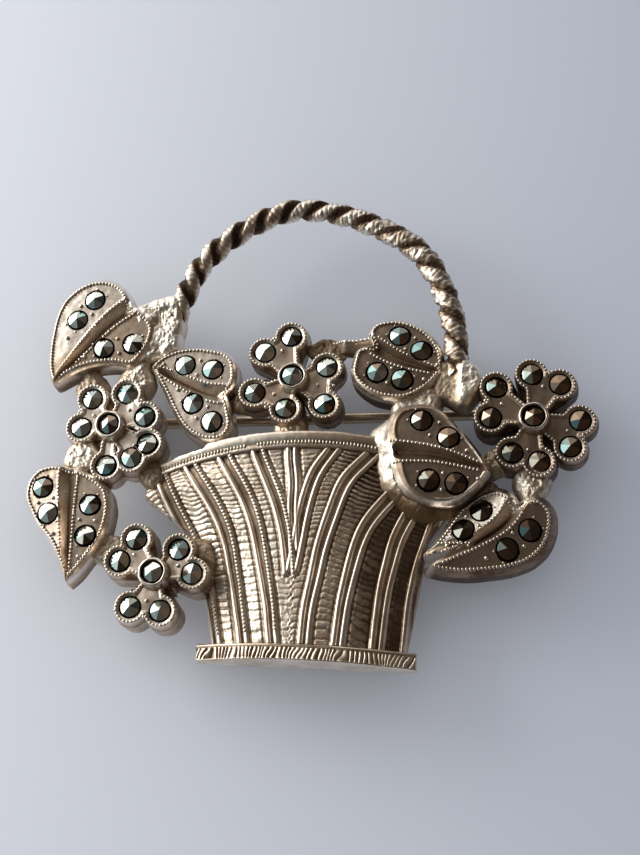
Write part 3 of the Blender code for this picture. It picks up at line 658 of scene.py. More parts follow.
def leaf_outline(node, stones):
    """A leaf's vein and its two lobes' outlines from notch to tip, read from the CAD leaf and its stones."""
    top = cad_top(node)
    centre = stones[:, :2].mean(0)
    ring = cad_outline(node, top - CAD_CHAMFER, centre)
    notches = cad_outline(node, top - 2 * CAD_CHAMFER, centre, 0.003)
    notch = notches[np.argmin(distance_to_line(notches, ring))]
    tip = ring[np.argmax(np.linalg.norm(ring - notch, axis=1))]
    turned = (bearing(np.vstack((ring, tip)), centre) - math.atan2(*(notch - centre)[::-1])) % TURN
    order = np.argsort(turned[:-1])
    ring, angles = ring[order], turned[order]
    halves = (ring[angles < turned[-1] - 1e-6], ring[angles > turned[-1] + 1e-6][::-1])
    lobes = [resample(np.vstack((notch, half, tip)), LEAF_STATIONS) for half in halves]
    lobes = [lobe + GROW * (lobe - centre) / np.linalg.norm(lobe - centre, axis=1)[:, None] for lobe in lobes]
    lobes = blunt(lobes, LEAF_LOOKS[node][5])
    vein = resample(np.vstack((lobes[0][0], centre, lobes[0][-1])), LEAF_STATIONS)
    return vein, lobes, top


def blunt(lobes, reach):
    """Round the tip off by averaging the outline over its neighbours more and more towards it."""
    whole = np.vstack((lobes[0], lobes[1][-2::-1]))
    smooth = smoothed_line(whole, np.hanning(2 * reach + 3)[1:-1], mode="edge")
    to_tip = 1 - np.abs(np.arange(len(whole)) - LEAF_STATIONS + 1) / LEAF_STATIONS
    share = smoothstep(0.72, 0.95, to_tip)[:, None]
    whole = whole * (1 - share) + smooth * share
    return [whole[:LEAF_STATIONS], whole[:LEAF_STATIONS - 2:-1]]


def vein_half_width(t):
    return VEIN_AT_TIP + (VEIN_AT_NOTCH - VEIN_AT_TIP) * (1 - t) ** 0.8


def bevel_width(t, looks):
    return looks[1] + (looks[0] - looks[1]) * (1 - t) ** 2.4


def leaf_height(from_vein, from_edge, t, top, looks, x, z):
    """Height of a leaf's face from the distances to its vein and its outline."""
    half = vein_half_width(t)
    bevel = bevel_width(t, looks)
    room = smoothstep(0.15, 0.9, from_vein + from_edge)
    dome = 0.06 * smoothstep(1.7, 0.2, from_edge) * smoothstep(0.0, 1.6, from_vein)
    level = top - PLANE_SUNK * room - dome + 0.015 * noise(x, z, 0.9, 3) + 0.010 * noise(x, z, 0.35, 4)
    edge = top - 0.02 - dome
    outer_step = smoothstep(bevel + 0.10, bevel - 0.02, from_edge)
    inner_step = smoothstep(half + 0.12, half, from_vein)
    face = level + (edge - level) * np.maximum(outer_step, inner_step)
    groove = top - 0.02 - (0.26 + 0.46 * room) * (1 - np.clip(from_vein / half, 0, 1)) ** 0.9
    face = np.where(from_vein < half, np.minimum(groove, face), face)
    slope = np.clip(1 - from_edge / np.maximum(bevel, 0.05), 0, 1)
    hammered = 0.02 + 0.07 * (looks[0] > 1)
    shoulder = edge - looks[2] * slope ** 1.5 + hammered * slope * noise(x, z, 0.8, 8)
    return np.minimum(face, shoulder)


def leaf_solid(sheets, centre, base, seed):
    """A leaf's points and faces from its two lobes' sheets, which meet along the vein."""
    points, faces = [], []
    index = {}

    def vertex(side, i, k):
        on_vein = k == 0 or i in (0, LEAF_STATIONS - 1)
        key = ("vein", i) if on_vein else (side, i, k)
        if key not in index:
            sheet, height = sheets[side][:2]
            column = 0 if on_vein else k
            index[key] = len(points)
            points.append((*sheet[i, column], height[i, column]))
        return index[key]

    for side in (0, 1):
        for i in range(LEAF_STATIONS - 1):
            for k in range(LEAF_ROWS - 1):
                corners = [vertex(side, i, k), vertex(side, i + 1, k), vertex(side, i + 1, k + 1),
                           vertex(side, i, k + 1)]
                corners = list(dict.fromkeys(corners))
                if len(corners) > 2:
                    faces.append(corners)
    loop = [vertex(0, i, LEAF_ROWS - 1) for i in range(LEAF_STATIONS)]
    loop += [vertex(1, i, LEAF_ROWS - 1) for i in range(LEAF_STATIONS - 2, 0, -1)]
    points = np.array(points)
    return walled(points, faces, loop, wall_rows(points[loop], centre, base, seed))


def leaf_shade(node, points, vein, closed, centre, top, base):
    """How dark a leaf is painted: tarnished silver in its hollows and its vein, and on its sunk faces and
    walls tarnished silver and painted shade.
    """
    x, z, height = points.T
    from_vein = distance_to_line(points[:, :2], vein)
    from_edge = distance_to_line(points[:, :2], closed)
    shade = 0.02 + 0.40 * smoothstep(0.5, 2.0, top - height)
    shade = shade + 0.30 * smoothstep(0.22, 0.0, from_vein) * (height > top - 1.0)
    tip_bevel = LEAF_LOOKS[node][1]
    sunk = smoothstep(tip_bevel, tip_bevel + 0.15, from_edge) * (height > top - 0.6)
    walls = WALL_PAINTED_SHADE * smoothstep(top - 0.7, top - 1.1, height)
    stained_and_shaded = sunk + walls
    if node in SHADED_LOWER_LOBES:
        # On these leaves the lobe toward the lower right, turned from the light, is painted dark: painted
        # shade.
        aside = 0.57 * (x - centre[0]) - 0.82 * (z - centre[1])
        face_or_edge = np.where(sunk > 0.5, 1.0, SHADED_LOWER_LOBES[node])
        stained_and_shaded = np.maximum(face_or_edge, walls) * smoothstep(-0.3, 0.1, aside)
    shade = np.where(height < base + 0.01, BACK_SHADE, shade + TARNISH_SHADE_AND_LEAN[node][0] * stained_and_shaded)
    return np.clip(shade, 0, 1)


def add_leaf(node, seed):
    pairs = stones_of(node)
    looks = LEAF_LOOKS[node]
    stones = np.vstack([apexes for _, apexes in pairs])
    vein, lobes, top = leaf_outline(node, stones)
    base = 0.04 if node == RAISED_LEAF else 0.0
    share = np.sin(np.linspace(0, math.pi / 2, LEAF_ROWS))
    t = np.linspace(0, 1, LEAF_STATIONS)
    outline = np.vstack((lobes[0], lobes[1][-2:0:-1]))
    closed = np.vstack((outline, outline[:1]))
    centre = outline.mean(0)
    sheets = []
    for lobe in lobes:
        sheet = vein[:, None, :] + (lobe - vein)[:, None, :] * share[None, :, None]
        from_vein = distance_to_line(sheet, vein)
        from_edge = distance_to_line(sheet, closed)
        height = leaf_height(from_vein, from_edge, t[:, None], top, looks, sheet[..., 0], sheet[..., 1])
        sheets.append((sheet, height, from_vein, from_edge))
    points, faces = leaf_solid(sheets, centre, base, seed)
    shade = leaf_shade(node, points, vein, closed, centre, top, base)
    leaf = add_silver(f"{node}_cast", points, faces, shade, CAST, node)
    cut_seats(leaf, stones[:, :2], stones[0, 2] - STONE_PROUD)
    pieces = [leaf, leaf_beads(node, sheets, t, looks, pairs, seed), *add_stone_pairs(pairs, seed)]
    lean(pieces, node, centre, top, vein, looks[4])


def add_stone_pairs(pairs, seed):
    return [add_stones(node, apexes, seed * 10 + number) for number, (node, apexes) in enumerate(pairs)]


def crossing(sheet, height, distance, level, stations):
    """Where a distance field crosses a level on each cross-line of a sheet, as (x, z, height)."""
    rows = np.dstack((sheet, height))
    found = []
    for i in stations:
        d = distance[i] - level[i]
        sign = np.nonzero(d[:-1] * d[1:] <= 0)[0]
        if len(sign):
            k = sign[0] if distance[i][0] < distance[i][-1] else sign[-1]
            share = d[k] / (d[k] - d[k + 1]) if d[k] != d[k + 1] else 0.0
            found.append(rows[i, k] + (rows[i, k + 1] - rows[i, k]) * share)
    return np.array(found)


def leaf_beads(node, sheets, t, looks, pairs, seed):
    """Milgrain along both edges of each lobe, and the grains that hold the stones."""
    stones = np.vstack([apexes for _, apexes in pairs])
    rows, sizes = [], []
    for sheet, height, from_vein, from_edge in sheets:
        stations = range(4, LEAF_STATIONS - 8)
        outer = crossing(sheet, height, from_edge, bevel_width(t, looks) + 0.02, stations)
        stations = range(12, LEAF_STATIONS - 14)
        inner = crossing(sheet, height, from_vein, vein_half_width(t) + 0.06, stations)
        placed = np.full((1, 3), 99.0)
        for line, wanted in ((outer, looks[3]), (inner, True)):
            if wanted and len(line) > 4:
                beads = far_from(along(line, BEAD_PITCH), placed, BEAD_PITCH)
                placed = beads
                rows.append(far_from(beads, stones, SEAT_RADIUS + 0.06))
                sizes.append(grain_sizes(rows[-1], seed))
    for _, apexes in pairs:
        grains, radii = stone_grains(apexes[:, :2], pairs[0][1][0, 2] - STONE_PROUD, sheets[0][0][-1, 0])
        rows.append(grains)
        sizes.append(radii)
    return add_beads(f"{node}_milgrain", np.vstack(rows), np.vstack(sizes), CAST)


def stone_grains(stones, plane, tip=None):
    """Raised grains of metal beside a pair of stones, and a lone bead between it and the leaf's tip."""
    gap = stones[1] - stones[0]
    heading = gap / math.hypot(*gap)
    aside = np.array((-heading[1], heading[0]))
    middle = stones.mean(0)
    grains = [(middle - aside * 0.56, 0.02, 0.15), (middle + aside * 0.56, 0.02, 0.15)]
    for end, direction in ((stones[0], -heading), (stones[1], heading)):
        for turn in (-0.55, 0.55):
            c, s = math.cos(turn), math.sin(turn)
            way = np.array((direction[0] * c - direction[1] * s, direction[0] * s + direction[1] * c))
            grains.append((end + way * 0.90, 0.0, 0.09))
    if tip is not None:
        last = min(stones, key=lambda stone: math.hypot(*(tip - stone)))
        to_tip, onward = tip - last, last - middle
        way = 0.6 * to_tip / math.hypot(*to_tip) + 0.4 * onward / math.hypot(*onward)
        grains.append((last + way * 1.55, 0.02, 0.17))
    rows = np.array([(*place, plane + lift, 0.0) for place, lift, _ in grains])
    return rows, np.array([[radius] * 3 for _, _, radius in grains])


# ---------------------------------------------------------------- flowers

FLOWER_ANGLES = 420
FLOWER_RINGS = 74
PETAL_DISC = 1.20
PETAL_FILL = 0.50           # how far a petal's web reaches beyond the triangle of its stones and the centre
PETAL_STEM = 0.62           # half width of the web to a petal with one stone
VALLEY = 0.62               # depth of the valleys between petals
CORE = 1.30
CUP_STONE_APEX = 0.93
CUP_LIP = 0.74
CUP_SIDES = 72


def segment_distance(x, z, a, b):
    ab = np.subtract(b, a)
    t = np.clip(((x - a[0]) * ab[0] + (z - a[1]) * ab[1]) / max(ab @ ab, 1e-9), 0, 1)
    return np.hypot(x - a[0] - t * ab[0], z - a[1] - t * ab[1])


def triangle_depth(x, z, corners):
    """Distance inside a triangle; negative outside."""
    a, b, c = (np.asarray(p, float) for p in corners)
    if np.cross(b - a, c - a) < 0:
        b, c = c, b
    depth = np.full(np.shape(x), 1e9)
    for p, q in ((a, b), (b, c), (c, a)):
        edge = (q - p) / np.linalg.norm(q - p)
        depth = np.minimum(depth, edge[0] * (z - p[1]) - edge[1] * (x - p[0]))
    return depth


def smooth_max(a, b, blend):
    share = np.clip(0.5 + 0.5 * (a - b) / blend, 0, 1)
    return b * (1 - share) + a * share + blend * share * (1 - share)


def petal_depth(x, z, stones, centre):
    """How far inside a petal a point lies; negative outside it."""
    discs = [PETAL_DISC - np.hypot(x - sx, z - sz) for sx, sz in stones]
    if len(stones) == 1:
        return smooth_max(discs[0], PETAL_STEM - segment_distance(x, z, stones[0], centre), 0.2)
    depth = smooth_max(discs[0], discs[1], 0.12)
    return smooth_max(depth, triangle_depth(x, z, (*stones, centre)) + PETAL_FILL, 0.18)


def flower_reach(petals, centre, angles):
    """Outline of the flower as a reach along each ray."""
    r = np.arange(0.0, 6.4, 0.02)
    x, z = polar(centre, angles[:, None], r)
    inside = np.max([petal_depth(x, z, petal, centre) for petal in petals], 0)
    inside = np.maximum(inside, CORE - np.hypot(x - centre[0], z - centre[1]))
    reach = np.array([r[np.nonzero(row > -0.04)[0].max()] for row in inside])
    return smoothed(reach, (1, 2, 3, 2, 1), mode="wrap")


def add_flower(node, seed):
    pairs = stones_of(node)
    cup = cad_points(f"{node}_centre_cup")[:, :2]
    centre = (cup.min(0) + cup.max(0)) / 2
    top = cad_top(node)
    base = 0.03 if node == "flower_bottom_left" else 0.0
    petals = [[tuple(stone[:2]) for stone in apexes] for _, apexes in pairs]
    angles = circle(FLOWER_ANGLES, -math.pi)
    reach = flower_reach(petals, centre, angles)
    share = np.linspace(0, 1, FLOWER_RINGS)[:, None] ** 0.85
    x, z = polar(centre, angles, reach * share)
    depth = np.max([petal_depth(x, z, petal, centre) for petal in petals], 0)
    plane = top - PLANE_SUNK + 0.03 * noise(x, z, 0.6, seed)
    rim = (PLANE_SUNK - 0.01) * smoothstep(0.42, 0.26, depth)
    out = np.hypot(x - centre[0], z - centre[1])
    valley = top - VALLEY + 0.12 * noise(x, z, 0.5, seed + 1) - 0.25 * smoothstep(2.6, 5.0, out)
    height = valley + (plane + rim - valley) * smoothstep(-0.10, 0.13, depth)
    height = height - 0.28 * np.clip(1 - reach * (1 - share) / 0.20, 0, 1) ** 2
    points, faces = domed(centre, x, z, height, base, seed, batter=-0.10)
    low = np.zeros(len(points))
    low[1:1 + depth[1:].size] = smoothstep(0.10, -0.06, depth[1:].ravel())
    # Valleys and low parts are darker as tarnished silver; the casting's row of darkening adds tarnished
    # silver and painted shade.
    shade = 0.03 + 0.42 * smoothstep(0.3, 1.6, top - points[:, 2]) + 0.50 * low + TARNISH_SHADE_AND_LEAN[node][0]
    flower = add_silver(f"{node}_cast", points, faces, np.clip(shade, 0, 1), CAST, node)
    stones = np.vstack([apexes for _, apexes in pairs])
    cut_seats(flower, stones[:, :2], stones[0, 2] - STONE_PROUD)
    pieces = [flower, flower_beads(node, petals, centre, top, pairs, seed), *add_stone_pairs(pairs, seed)]
    pieces.append(add_cup(f"{node}_centre_cup", centre, top, seed))
    pieces.append(add_stones(f"{node}_centre_stone", [(*centre, top + CUP_STONE_APEX)], seed * 10 + 9))
    lean(pieces, node, centre, top)


def flower_beads(node, petals, centre, top, pairs, seed):
    """Milgrain round each petal, and the grains that hold each pair of stones."""
    rows, sizes = [], []
    for petal in petals:
        line = petal_loop(petal, centre, 0.17)
        line = np.column_stack((line, np.full(len(line), top - 0.01)))
        for run in clear_runs(line, centre, petals, petal):
            rows.append(along(run, BEAD_PITCH))
            sizes.append(grain_sizes(rows[-1], seed, (0.095, 0.13, 0.10)))
    for _, apexes in pairs:
        if len(apexes) > 1:
            grains, radii = stone_grains(apexes[:, :2], top - PLANE_SUNK)
            rows.append(grains[:2])
            sizes.append(radii[:2])
    return add_beads(f"{node}_milgrain", np.vstack(rows), np.vstack(sizes), CAST)


def petal_loop(petal, centre, level):
    """Closed contour of one petal at the given depth inside it."""
    middle = np.mean(petal, 0) * 0.85 + np.asarray(centre) * 0.15
    angles = np.linspace(0, TURN, 240)
    r = np.arange(0.0, 3.6, 0.02)
    depth = petal_depth(*polar(middle, angles[:, None], r), petal, centre)
    reach = np.array([r[np.nonzero(row > level)[0].max()] if (row > level).any() else 0 for row in depth])
    return np.stack(polar(middle, angles, reach), -1)


def clear_runs(line, centre, petals, petal):
    """The stretches of a contour that are clear of the centre cup and of the other petals."""
    keep = np.hypot(line[:, 0] - centre[0], line[:, 1] - centre[1]) > 1.25
    for other in petals:
        if other is not petal:
            keep &= petal_depth(line[:, 0], line[:, 1], other, centre) < 0.02
    ends = np.flatnonzero(np.diff(np.concatenate(([0], keep, [0]))))
    runs = [line[a:b] for a, b in zip(ends[::2], ends[1::2])]
    if len(runs) > 1 and keep[0] and keep[-1]:
        runs[0] = np.vstack((runs.pop(), runs[0]))
    return [run for run in runs if len(run) > 6]


# Section of a stone's tube setting from its seat over the lip to its foot: radius, height above the
# casting's face (above the lip for CUP_TOP), and shade
CUP_SEAT = ((0.20, 0.16, 1.5), (0.60, 0.18, 1.5), (0.775, 0.20, 1.5), (0.79, 0.42, 1.2))
CUP_TOP = ((0.80, -0.12, 0.7), (0.82, -0.03, 0.2), (0.87, 0.01, 0.0), (0.94, -0.01, 0.0), (1.00, -0.08, 0.0),
           (1.03, -0.2, 0.05))
CUP_WALL = ((1.05, 0.35, 0.1), (1.06, 0.10, 0.3), (1.12, -0.06, 0.6), (1.16, -0.25, 0.8), (1.14, -0.45, 0.8))


def add_cup(node, centre, top, seed):
    """Tube setting of the middle stone: a slightly uneven lip round a deep seat."""
    lip = top + CUP_LIP
    parts = ((CUP_SEAT, top), (CUP_TOP, lip), (CUP_WALL, top))
    profile = [(radius, start + up, tone) for part, start in parts for radius, up, tone in part]
    angle = circle(CUP_SIDES)
    c, s = np.cos(angle), np.sin(angle)
    rows = []
    for radius, height, _ in profile:
        wobble = 0.022 * noise(c * 3 + seed, s * 3 + height, 1.1, seed) * (radius > 0.7)
        lift = 0.03 * noise(c * 2 + 9, s * 2, 1.0, seed + 5) * (height > lip - 0.3)
        rows.append(np.column_stack((*polar(centre, angle, radius + wobble), height + lift)))
    shade = np.repeat([tone for _, _, tone in profile], CUP_SIDES)
    return add_silver(f"{node}_tube", np.vstack(rows), tube_faces(len(rows), CUP_SIDES), shade, CAST, node)


# ---------------------------------------------------------------- solder sockets and twigs

# Where a socket spreads beyond the CAD's plain block onto the casting beside it: outline (x, z)
SOCKET_OUTLINES = {
    "handle_socket_left": ((-12.7, 19.1), (-11.6, 19.75), (-10.3, 20.0), (-9.4, 20.3), (-8.8, 19.6),
                           (-8.9, 18.2), (-9.0, 16.8), (-9.1, 15.5), (-9.8, 15.2), (-10.6, 14.9),
                           (-11.4, 14.8), (-12.4, 15.2), (-12.9, 17.4)),
    "handle_socket_right": ((9.4, 14.2), (10.4, 14.5), (11.6, 14.2), (12.4, 13.4), (12.4, 12.2), (11.9, 11.2),
                            (11.3, 10.5), (10.0, 11.1), (8.9, 11.6), (8.9, 12.9)),
}
SOCKET_ROUGH = {"handle_socket_left": 1.2, "handle_socket_right": 0.75}
# Solder between castings: two ends (x, z), half width, height of its top, and how tarnished it is
JOINS = (
    ((-12.5, 12.2), (-11.9, 14.4), 0.80, 1.75, 0.05),
    ((-15.3, 12.0), (-15.5, 14.0), 0.65, 1.35, 0.35),
    ((-12.6, 0.6), (-14.3, 1.6), 0.60, 1.45, 0.15),
    ((-0.9, 10.4), (-1.0, 9.0), 0.95, 1.50, 0.20),
    ((0.5, 15.5), (2.3, 15.2), 0.50, 0.90, 0.75),
    ((15.8, 6.4), (15.5, 4.3), 0.75, 1.70, 0.15),
    ((12.9, 6.2), (13.8, 7.4), 0.60, 1.80, 0.40),
    ((11.6, 4.2), (12.6, 4.7), 0.85, 1.50, 0.35),
    ((-7.3, -0.9), (-6.9, 0.9), 0.95, 1.90, 0.50),
    ((-11.0, 7.0), (-10.6, 6.3), 0.80, 1.40, 0.45),
    ((-4.5, 11.7), (-3.6, 11.9), 0.75, 1.40, 0.45),
    ((-6.3, 9.2), (-5.8, 8.4), 0.80, 1.40, 0.30),
)
JOIN_LOW = 0.4
# Solder run round the foot of the raised leaf: how far it is shifted (x, z) and grown, and its heights
SKIRT_SHIFT = (-0.75, -0.42)
SKIRT_GROW = 0.55
SKIRT_LOW = 1.0
SKIRT_TOP = 3.1
SKIRT_UNDER_LEAF = 1.9
SKIRT_COUNTS = (360, 110)
# Section of the flat stem between two castings, from its upper edge round the front to its back: share of the
# width, share of the height, and shade
TWIG_SECTION = ((0.0, 0.25, 0.4), (0.0, 0.8, 0.3), (0.03, 0.93, 0.1), (0.12, 1.0, 0.05), (0.25, 0.93, 0.35),
                (0.45, 0.80, 0.7), (0.8, 0.72, 0.8), (0.95, 0.62, 0.8), (1.0, 0.4, 0.8), (1.0, 0.25, 0.8))
TWIG_STATIONS = 60


def lump(outline, middle, low, top, seed, grow=0.2, flat=6.0, rough=1.0, counts=(200, 50), ragged=0.04):
    """Rough cast or soldered metal that runs into its neighbours: a low dome over an outline."""
    count, rings = counts
    angles = circle(count, -math.pi)
    reach = np.interp(angles, bearing(outline, middle), np.hypot(*(outline - middle).T), period=TURN) + grow
    reach = smoothed(reach, np.hanning(13), mode="wrap")
    reach = reach * (1 + ragged * noise(np.cos(angles) * 3, np.sin(angles) * 3, 0.8, seed))
    share = np.sin(np.linspace(0, math.pi / 2, rings))[:, None]
    x, z = polar(middle, angles, reach * share)
    dome = np.clip(1 - share ** flat, 0, 1) ** 0.6
    turned = (0.8 * x - 0.6 * z, 0.6 * x + 0.8 * z)
    lumps = 0.12 * noise(x, z, 1.3, seed) + 0.08 * noise(*turned, 0.60, seed + 3)
    lumps = lumps + 0.05 * noise(x, z, 0.26, seed + 6) + 0.03 * noise(*turned, 0.13, seed + 9)
    height = low + 0.35 + (top - low - 0.35) * dome + lumps * rough * (0.3 + 0.7 * dome)
    points, faces = domed(middle, x, z, height, max(low - 0.1, 0.035), seed, batter=-0.2)
    x, z, height = points.T
    dips = -noise(x, z, 0.5, seed + 3) - 0.6 * noise(x, z, 0.24, seed + 6)
    shade = 0.04 + 0.38 * smoothstep(0.3, 1.6, top - height) + 0.22 * np.clip(dips, 0, 1)
    return points, faces, np.clip(shade, 0, 1)


def bridge_ring(node):
    """Outline, middle, underside and top of a plain CAD piece between two castings."""
    low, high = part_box(node)
    middle = (low + high) / 2 / MM
    middle = np.array((middle.x, middle.z))
    heights = cad_points(node)[:, 2]
    return cad_outline(node, heights.max(), middle, 0.05), middle, heights.min(), heights.max()


def add_socket(node, seed):
    """Solder lump that holds a handle end or joins two castings."""
    ring, middle, low, top = bridge_ring(node)
    if node in SOCKET_OUTLINES:
        ring = np.array(SOCKET_OUTLINES[node])
        points, faces, shade = lump(ring, ring.mean(0), low, top, seed, grow=0.0, flat=9.0,
                                    rough=SOCKET_ROUGH[node])
    else:
        points, faces, shade = lump(ring, middle, low, top, seed, rough=0.8)
    if node == "handle_socket_left":
        # The left socket, nearest the light, is painted lighter: painted light.
        shade = 0.4 * shade
    elif node == "handle_socket_right":
        beside = smoothstep(11.1, 10.2, points[:, 0])
        points[:, 2] -= 0.35 * beside * smoothstep(0.5, 1.0, points[:, 2])
        shade = shade + 0.55 * beside
    add_silver(f"{node}_solder", points, faces, shade, SOLDER, node)


def add_skirt():
    """Solder that beds the raised leaf on the basket: hammered, painted bright to the upper left where the
    light falls and brown underneath as painted shade, patchy with tarnished silver there.
    """
    stones = np.vstack([places for _, places in stones_of(RAISED_LEAF)])
    ring = cad_outline(RAISED_LEAF, cad_top(RAISED_LEAF) - CAD_CHAMFER, stones[:, :2].mean(0)) + SKIRT_SHIFT
    middle = ring.mean(0)
    points, faces, shade = lump(ring, middle, SKIRT_LOW, SKIRT_TOP, 71, grow=SKIRT_GROW, flat=3.0, rough=1.1,
                                counts=SKIRT_COUNTS, ragged=0.08)
    x, z, height = points.T
    away = points[:, :2] - middle
    bearings = bearing(points, middle)
    out = np.hypot(*away.T)
    last = slice(-SKIRT_COUNTS[0], None)
    share = out / np.interp(bearings, bearings[last], out[last], period=TURN)
    facets = smoothstep(-1.6, 0.2, away[:, 1]) * smoothstep(0.7, 1.2, height)
    height = height - 0.14 * np.abs(np.sin(7.0 * bearings + 0.6)) * facets
    sunk = 0.30 * smoothstep(-0.5, -2.0, away[:, 1]) + 0.6 * smoothstep(-0.5, 1.5, away @ (0.87, 0.5))
    height = height - sunk * smoothstep(1.0, 2.0, height)
    hidden = smoothstep(0.70, 0.60, share)
    height = height * (1 - hidden) + SKIRT_UNDER_LEAF * hidden
    # Painted shade: the lower side, away from the light, is painted brown.
    shaded_below = smoothstep(0.0, -2.2, away[:, 1])
    patchy = 0.30 * np.clip(noise(x, z, 0.7, 9), 0, 1)
    shade = shade * 0.3 + (0.08 + 0.85 * shaded_below) * smoothstep(2.9, 2.0, height) + patchy * shaded_below
    points = np.column_stack((x, z, height))
    add_silver(f"{RAISED_LEAF}_bed", points, faces, np.clip(shade, 0, 1), SOLDER)


def add_joins():
    parts, shades = [], []
    for number, (first, last, radius, top, stain) in enumerate(JOINS):
        first, last = np.array(first), np.array(last)
        heading = math.atan2(*(last - first)[::-1])
        ends = []
        for end, turn in ((last, heading - math.pi / 2), (first, heading + math.pi / 2)):
            ends.append(np.column_stack(polar(end, turn + np.linspace(0, math.pi, 9), radius)))
        points, faces, shade = lump(np.vstack(ends), (first + last) / 2, JOIN_LOW, top, 50 + number,
                                    grow=0.05, flat=4.0, rough=1.2, counts=(150, 40))
        parts.append((points, faces))
        shades.append(np.clip(shade + stain, 0, 1))
    add_silver("solder_joins", *joined(parts), np.concatenate(shades), SOLDER)


def add_bar_twig(node, seed):
    """Flat stem between two castings, grained along its upper edge, which runs down into the left one."""
    ring, middle, _, top = bridge_ring(node)
    left, right, peak = ring[:, 0].min() + 0.5, ring[:, 0].max() + 0.4, ring[:, 1].max()
    span = np.linspace(left, right, TWIG_STATIONS)
    upper = np.interp(span, (left, (left + right) / 2, right), (peak - 0.15, peak - 0.28, peak - 0.05))
    lower = upper - 1.0 - 0.25 * ((span - middle[0]) / (right - left)) ** 2
    sinking = 0.55 + 0.45 * smoothstep(left, left + 0.9, span)
    rows = []
    for down, out, _ in TWIG_SECTION:
        z = upper + (lower - upper) * down
        rows.append(np.column_stack((span, z, top * out * sinking + 0.03 * noise(span, z, 0.4, seed))))
    shade = np.tile([tone for _, _, tone in TWIG_SECTION], TWIG_STATIONS)
    add_silver(f"{node}_bar", *swept(rows), shade, CAST, node)
    beads = along(np.column_stack((span, upper - 0.14, top * sinking)), BEAD_PITCH)
    add_beads(f"{node}_milgrain", beads, grain_sizes(beads, seed), CAST)


# ---------------------------------------------------------------- basket

BASKET_COLUMNS = 392
BASKET_ROWS = 244
BASKET_EDGE = 0.7           # height of the panel at its sides
BASKET_BACK = 0.02
BASKET_FOOT = -6.0
# Middle line of each pair of ribs, from top to foot, as (x, z)
RIBS = {
    "left_fourth": ((-10.6, 7.5), (-10.2, 6.7), (-9.5, 5.2), (-8.8, 3.8), (-7.3, 0.9), (-6.4, -1.7),
                    (-6.1, -3.2), (-5.6, -5.8)),
    "left_third": ((-8.2, 7.6), (-7.8, 6.8), (-6.4, 4.7), (-5.3, 2.6), (-4.8, 0.9), (-4.4, -1.2),
                   (-4.0, -3.3), (-3.6, -5.9)),
    "left_second": ((-5.8, 8.2), (-5.3, 7.2), (-4.1, 5.2), (-3.2, 3.2), (-2.7, 1.2), (-2.3, -0.7),
                    (-1.9, -2.8), (-1.5, -6.0)),
    "left_inner": ((-3.2, 8.4), (-2.9, 7.4), (-2.2, 5.8), (-1.5, 4.1), (-1.0, 2.3), (-0.7, 0.6),
                   (-0.5, -1.3)),
    "middle": ((-0.6, 8.4), (-0.6, 7.3), (-0.4, 5.5), (-0.4, 3.4), (-0.3, 1.7), (-0.25, 0.3)),
    "right_inner": ((2.7, 8.3), (1.9, 7.1), (1.0, 5.7), (0.4, 3.6), (0.0, 1.1), (-0.4, -1.1)),
    "right_second": ((5.2, 7.6), (4.3, 6.6), (3.1, 5.3), (2.4, 3.3), (1.7, 1.1), (1.2, -1.5), (0.8, -3.5),
                     (0.6, -6.1)),
    "right_third": ((6.9, 5.0), (5.8, 3.8), (4.6, 2.2), (4.0, 0.6), (3.5, -1.5), (3.1, -3.5), (2.8, -6.2)),
    "right_fourth": ((8.2, 4.4), (7.3, 2.8), (6.6, 1.3), (6.1, -0.7), (5.7, -2.7), (5.3, -6.4)),
    "right_fifth": ((9.9, 4.4), (8.9, 1.8), (8.0, -1.1), (7.6, -3.3), (7.3, -6.4)),
}
BEADED_RIBS = ("left_inner", "left_second", "left_third", "left_fourth")
RIB_SPREAD = {"middle": 0.24, "left_inner": 0.34, "right_inner": 0.34}
USUAL_SPREAD = 0.38         # from the middle of a pair of ribs to each wire, at the top
WIRE = 0.205                # half the width of one rib wire
BASKET_AXIS = -0.5
RIM_COLUMNS = 500
FOOT_COLUMNS = 900
BAND_SIDES = 1.05           # height of the rim and the foot band at their ends
# Section of the rim, down its face from the back: distance down, share of the height, and shade
RIM_SECTION = ((0.02, 0.02, 0.5), (0.0, 0.35, 0.4), (0.0, 0.80, 0.2), (0.02, 0.95, 0.05), (0.10, 1.0, 0.0),
               (0.28, 1.012, 0.0), (0.50, 1.004, 0.02), (0.70, 0.985, 0.15), (0.80, 0.955, 0.6),
               (0.92, 0.96, 0.3), (1.04, 0.975, 0.05), (1.18, 0.965, 0.15), (1.27, 0.92, 0.6),
               (1.30, 0.75, 0.8), (1.30, 0.02, 0.8))
FOOT_GROOVE = 0.22
# Section of the foot band above and below its chisel cuts: share of its depth and share of its height
FOOT_FILLET = ((0.0, 0.02), (0.0, 0.5), (0.0, 0.86), (0.03, 0.93), (0.10, 0.97), (0.17, 0.965),
               (FOOT_GROOVE, 0.92))
FOOT_UNDER = ((0.92, 1.0), (0.97, 0.985), (1.0, 0.95), (1.0, 0.6), (1.0, 0.02))
CUT_PITCH = 0.30


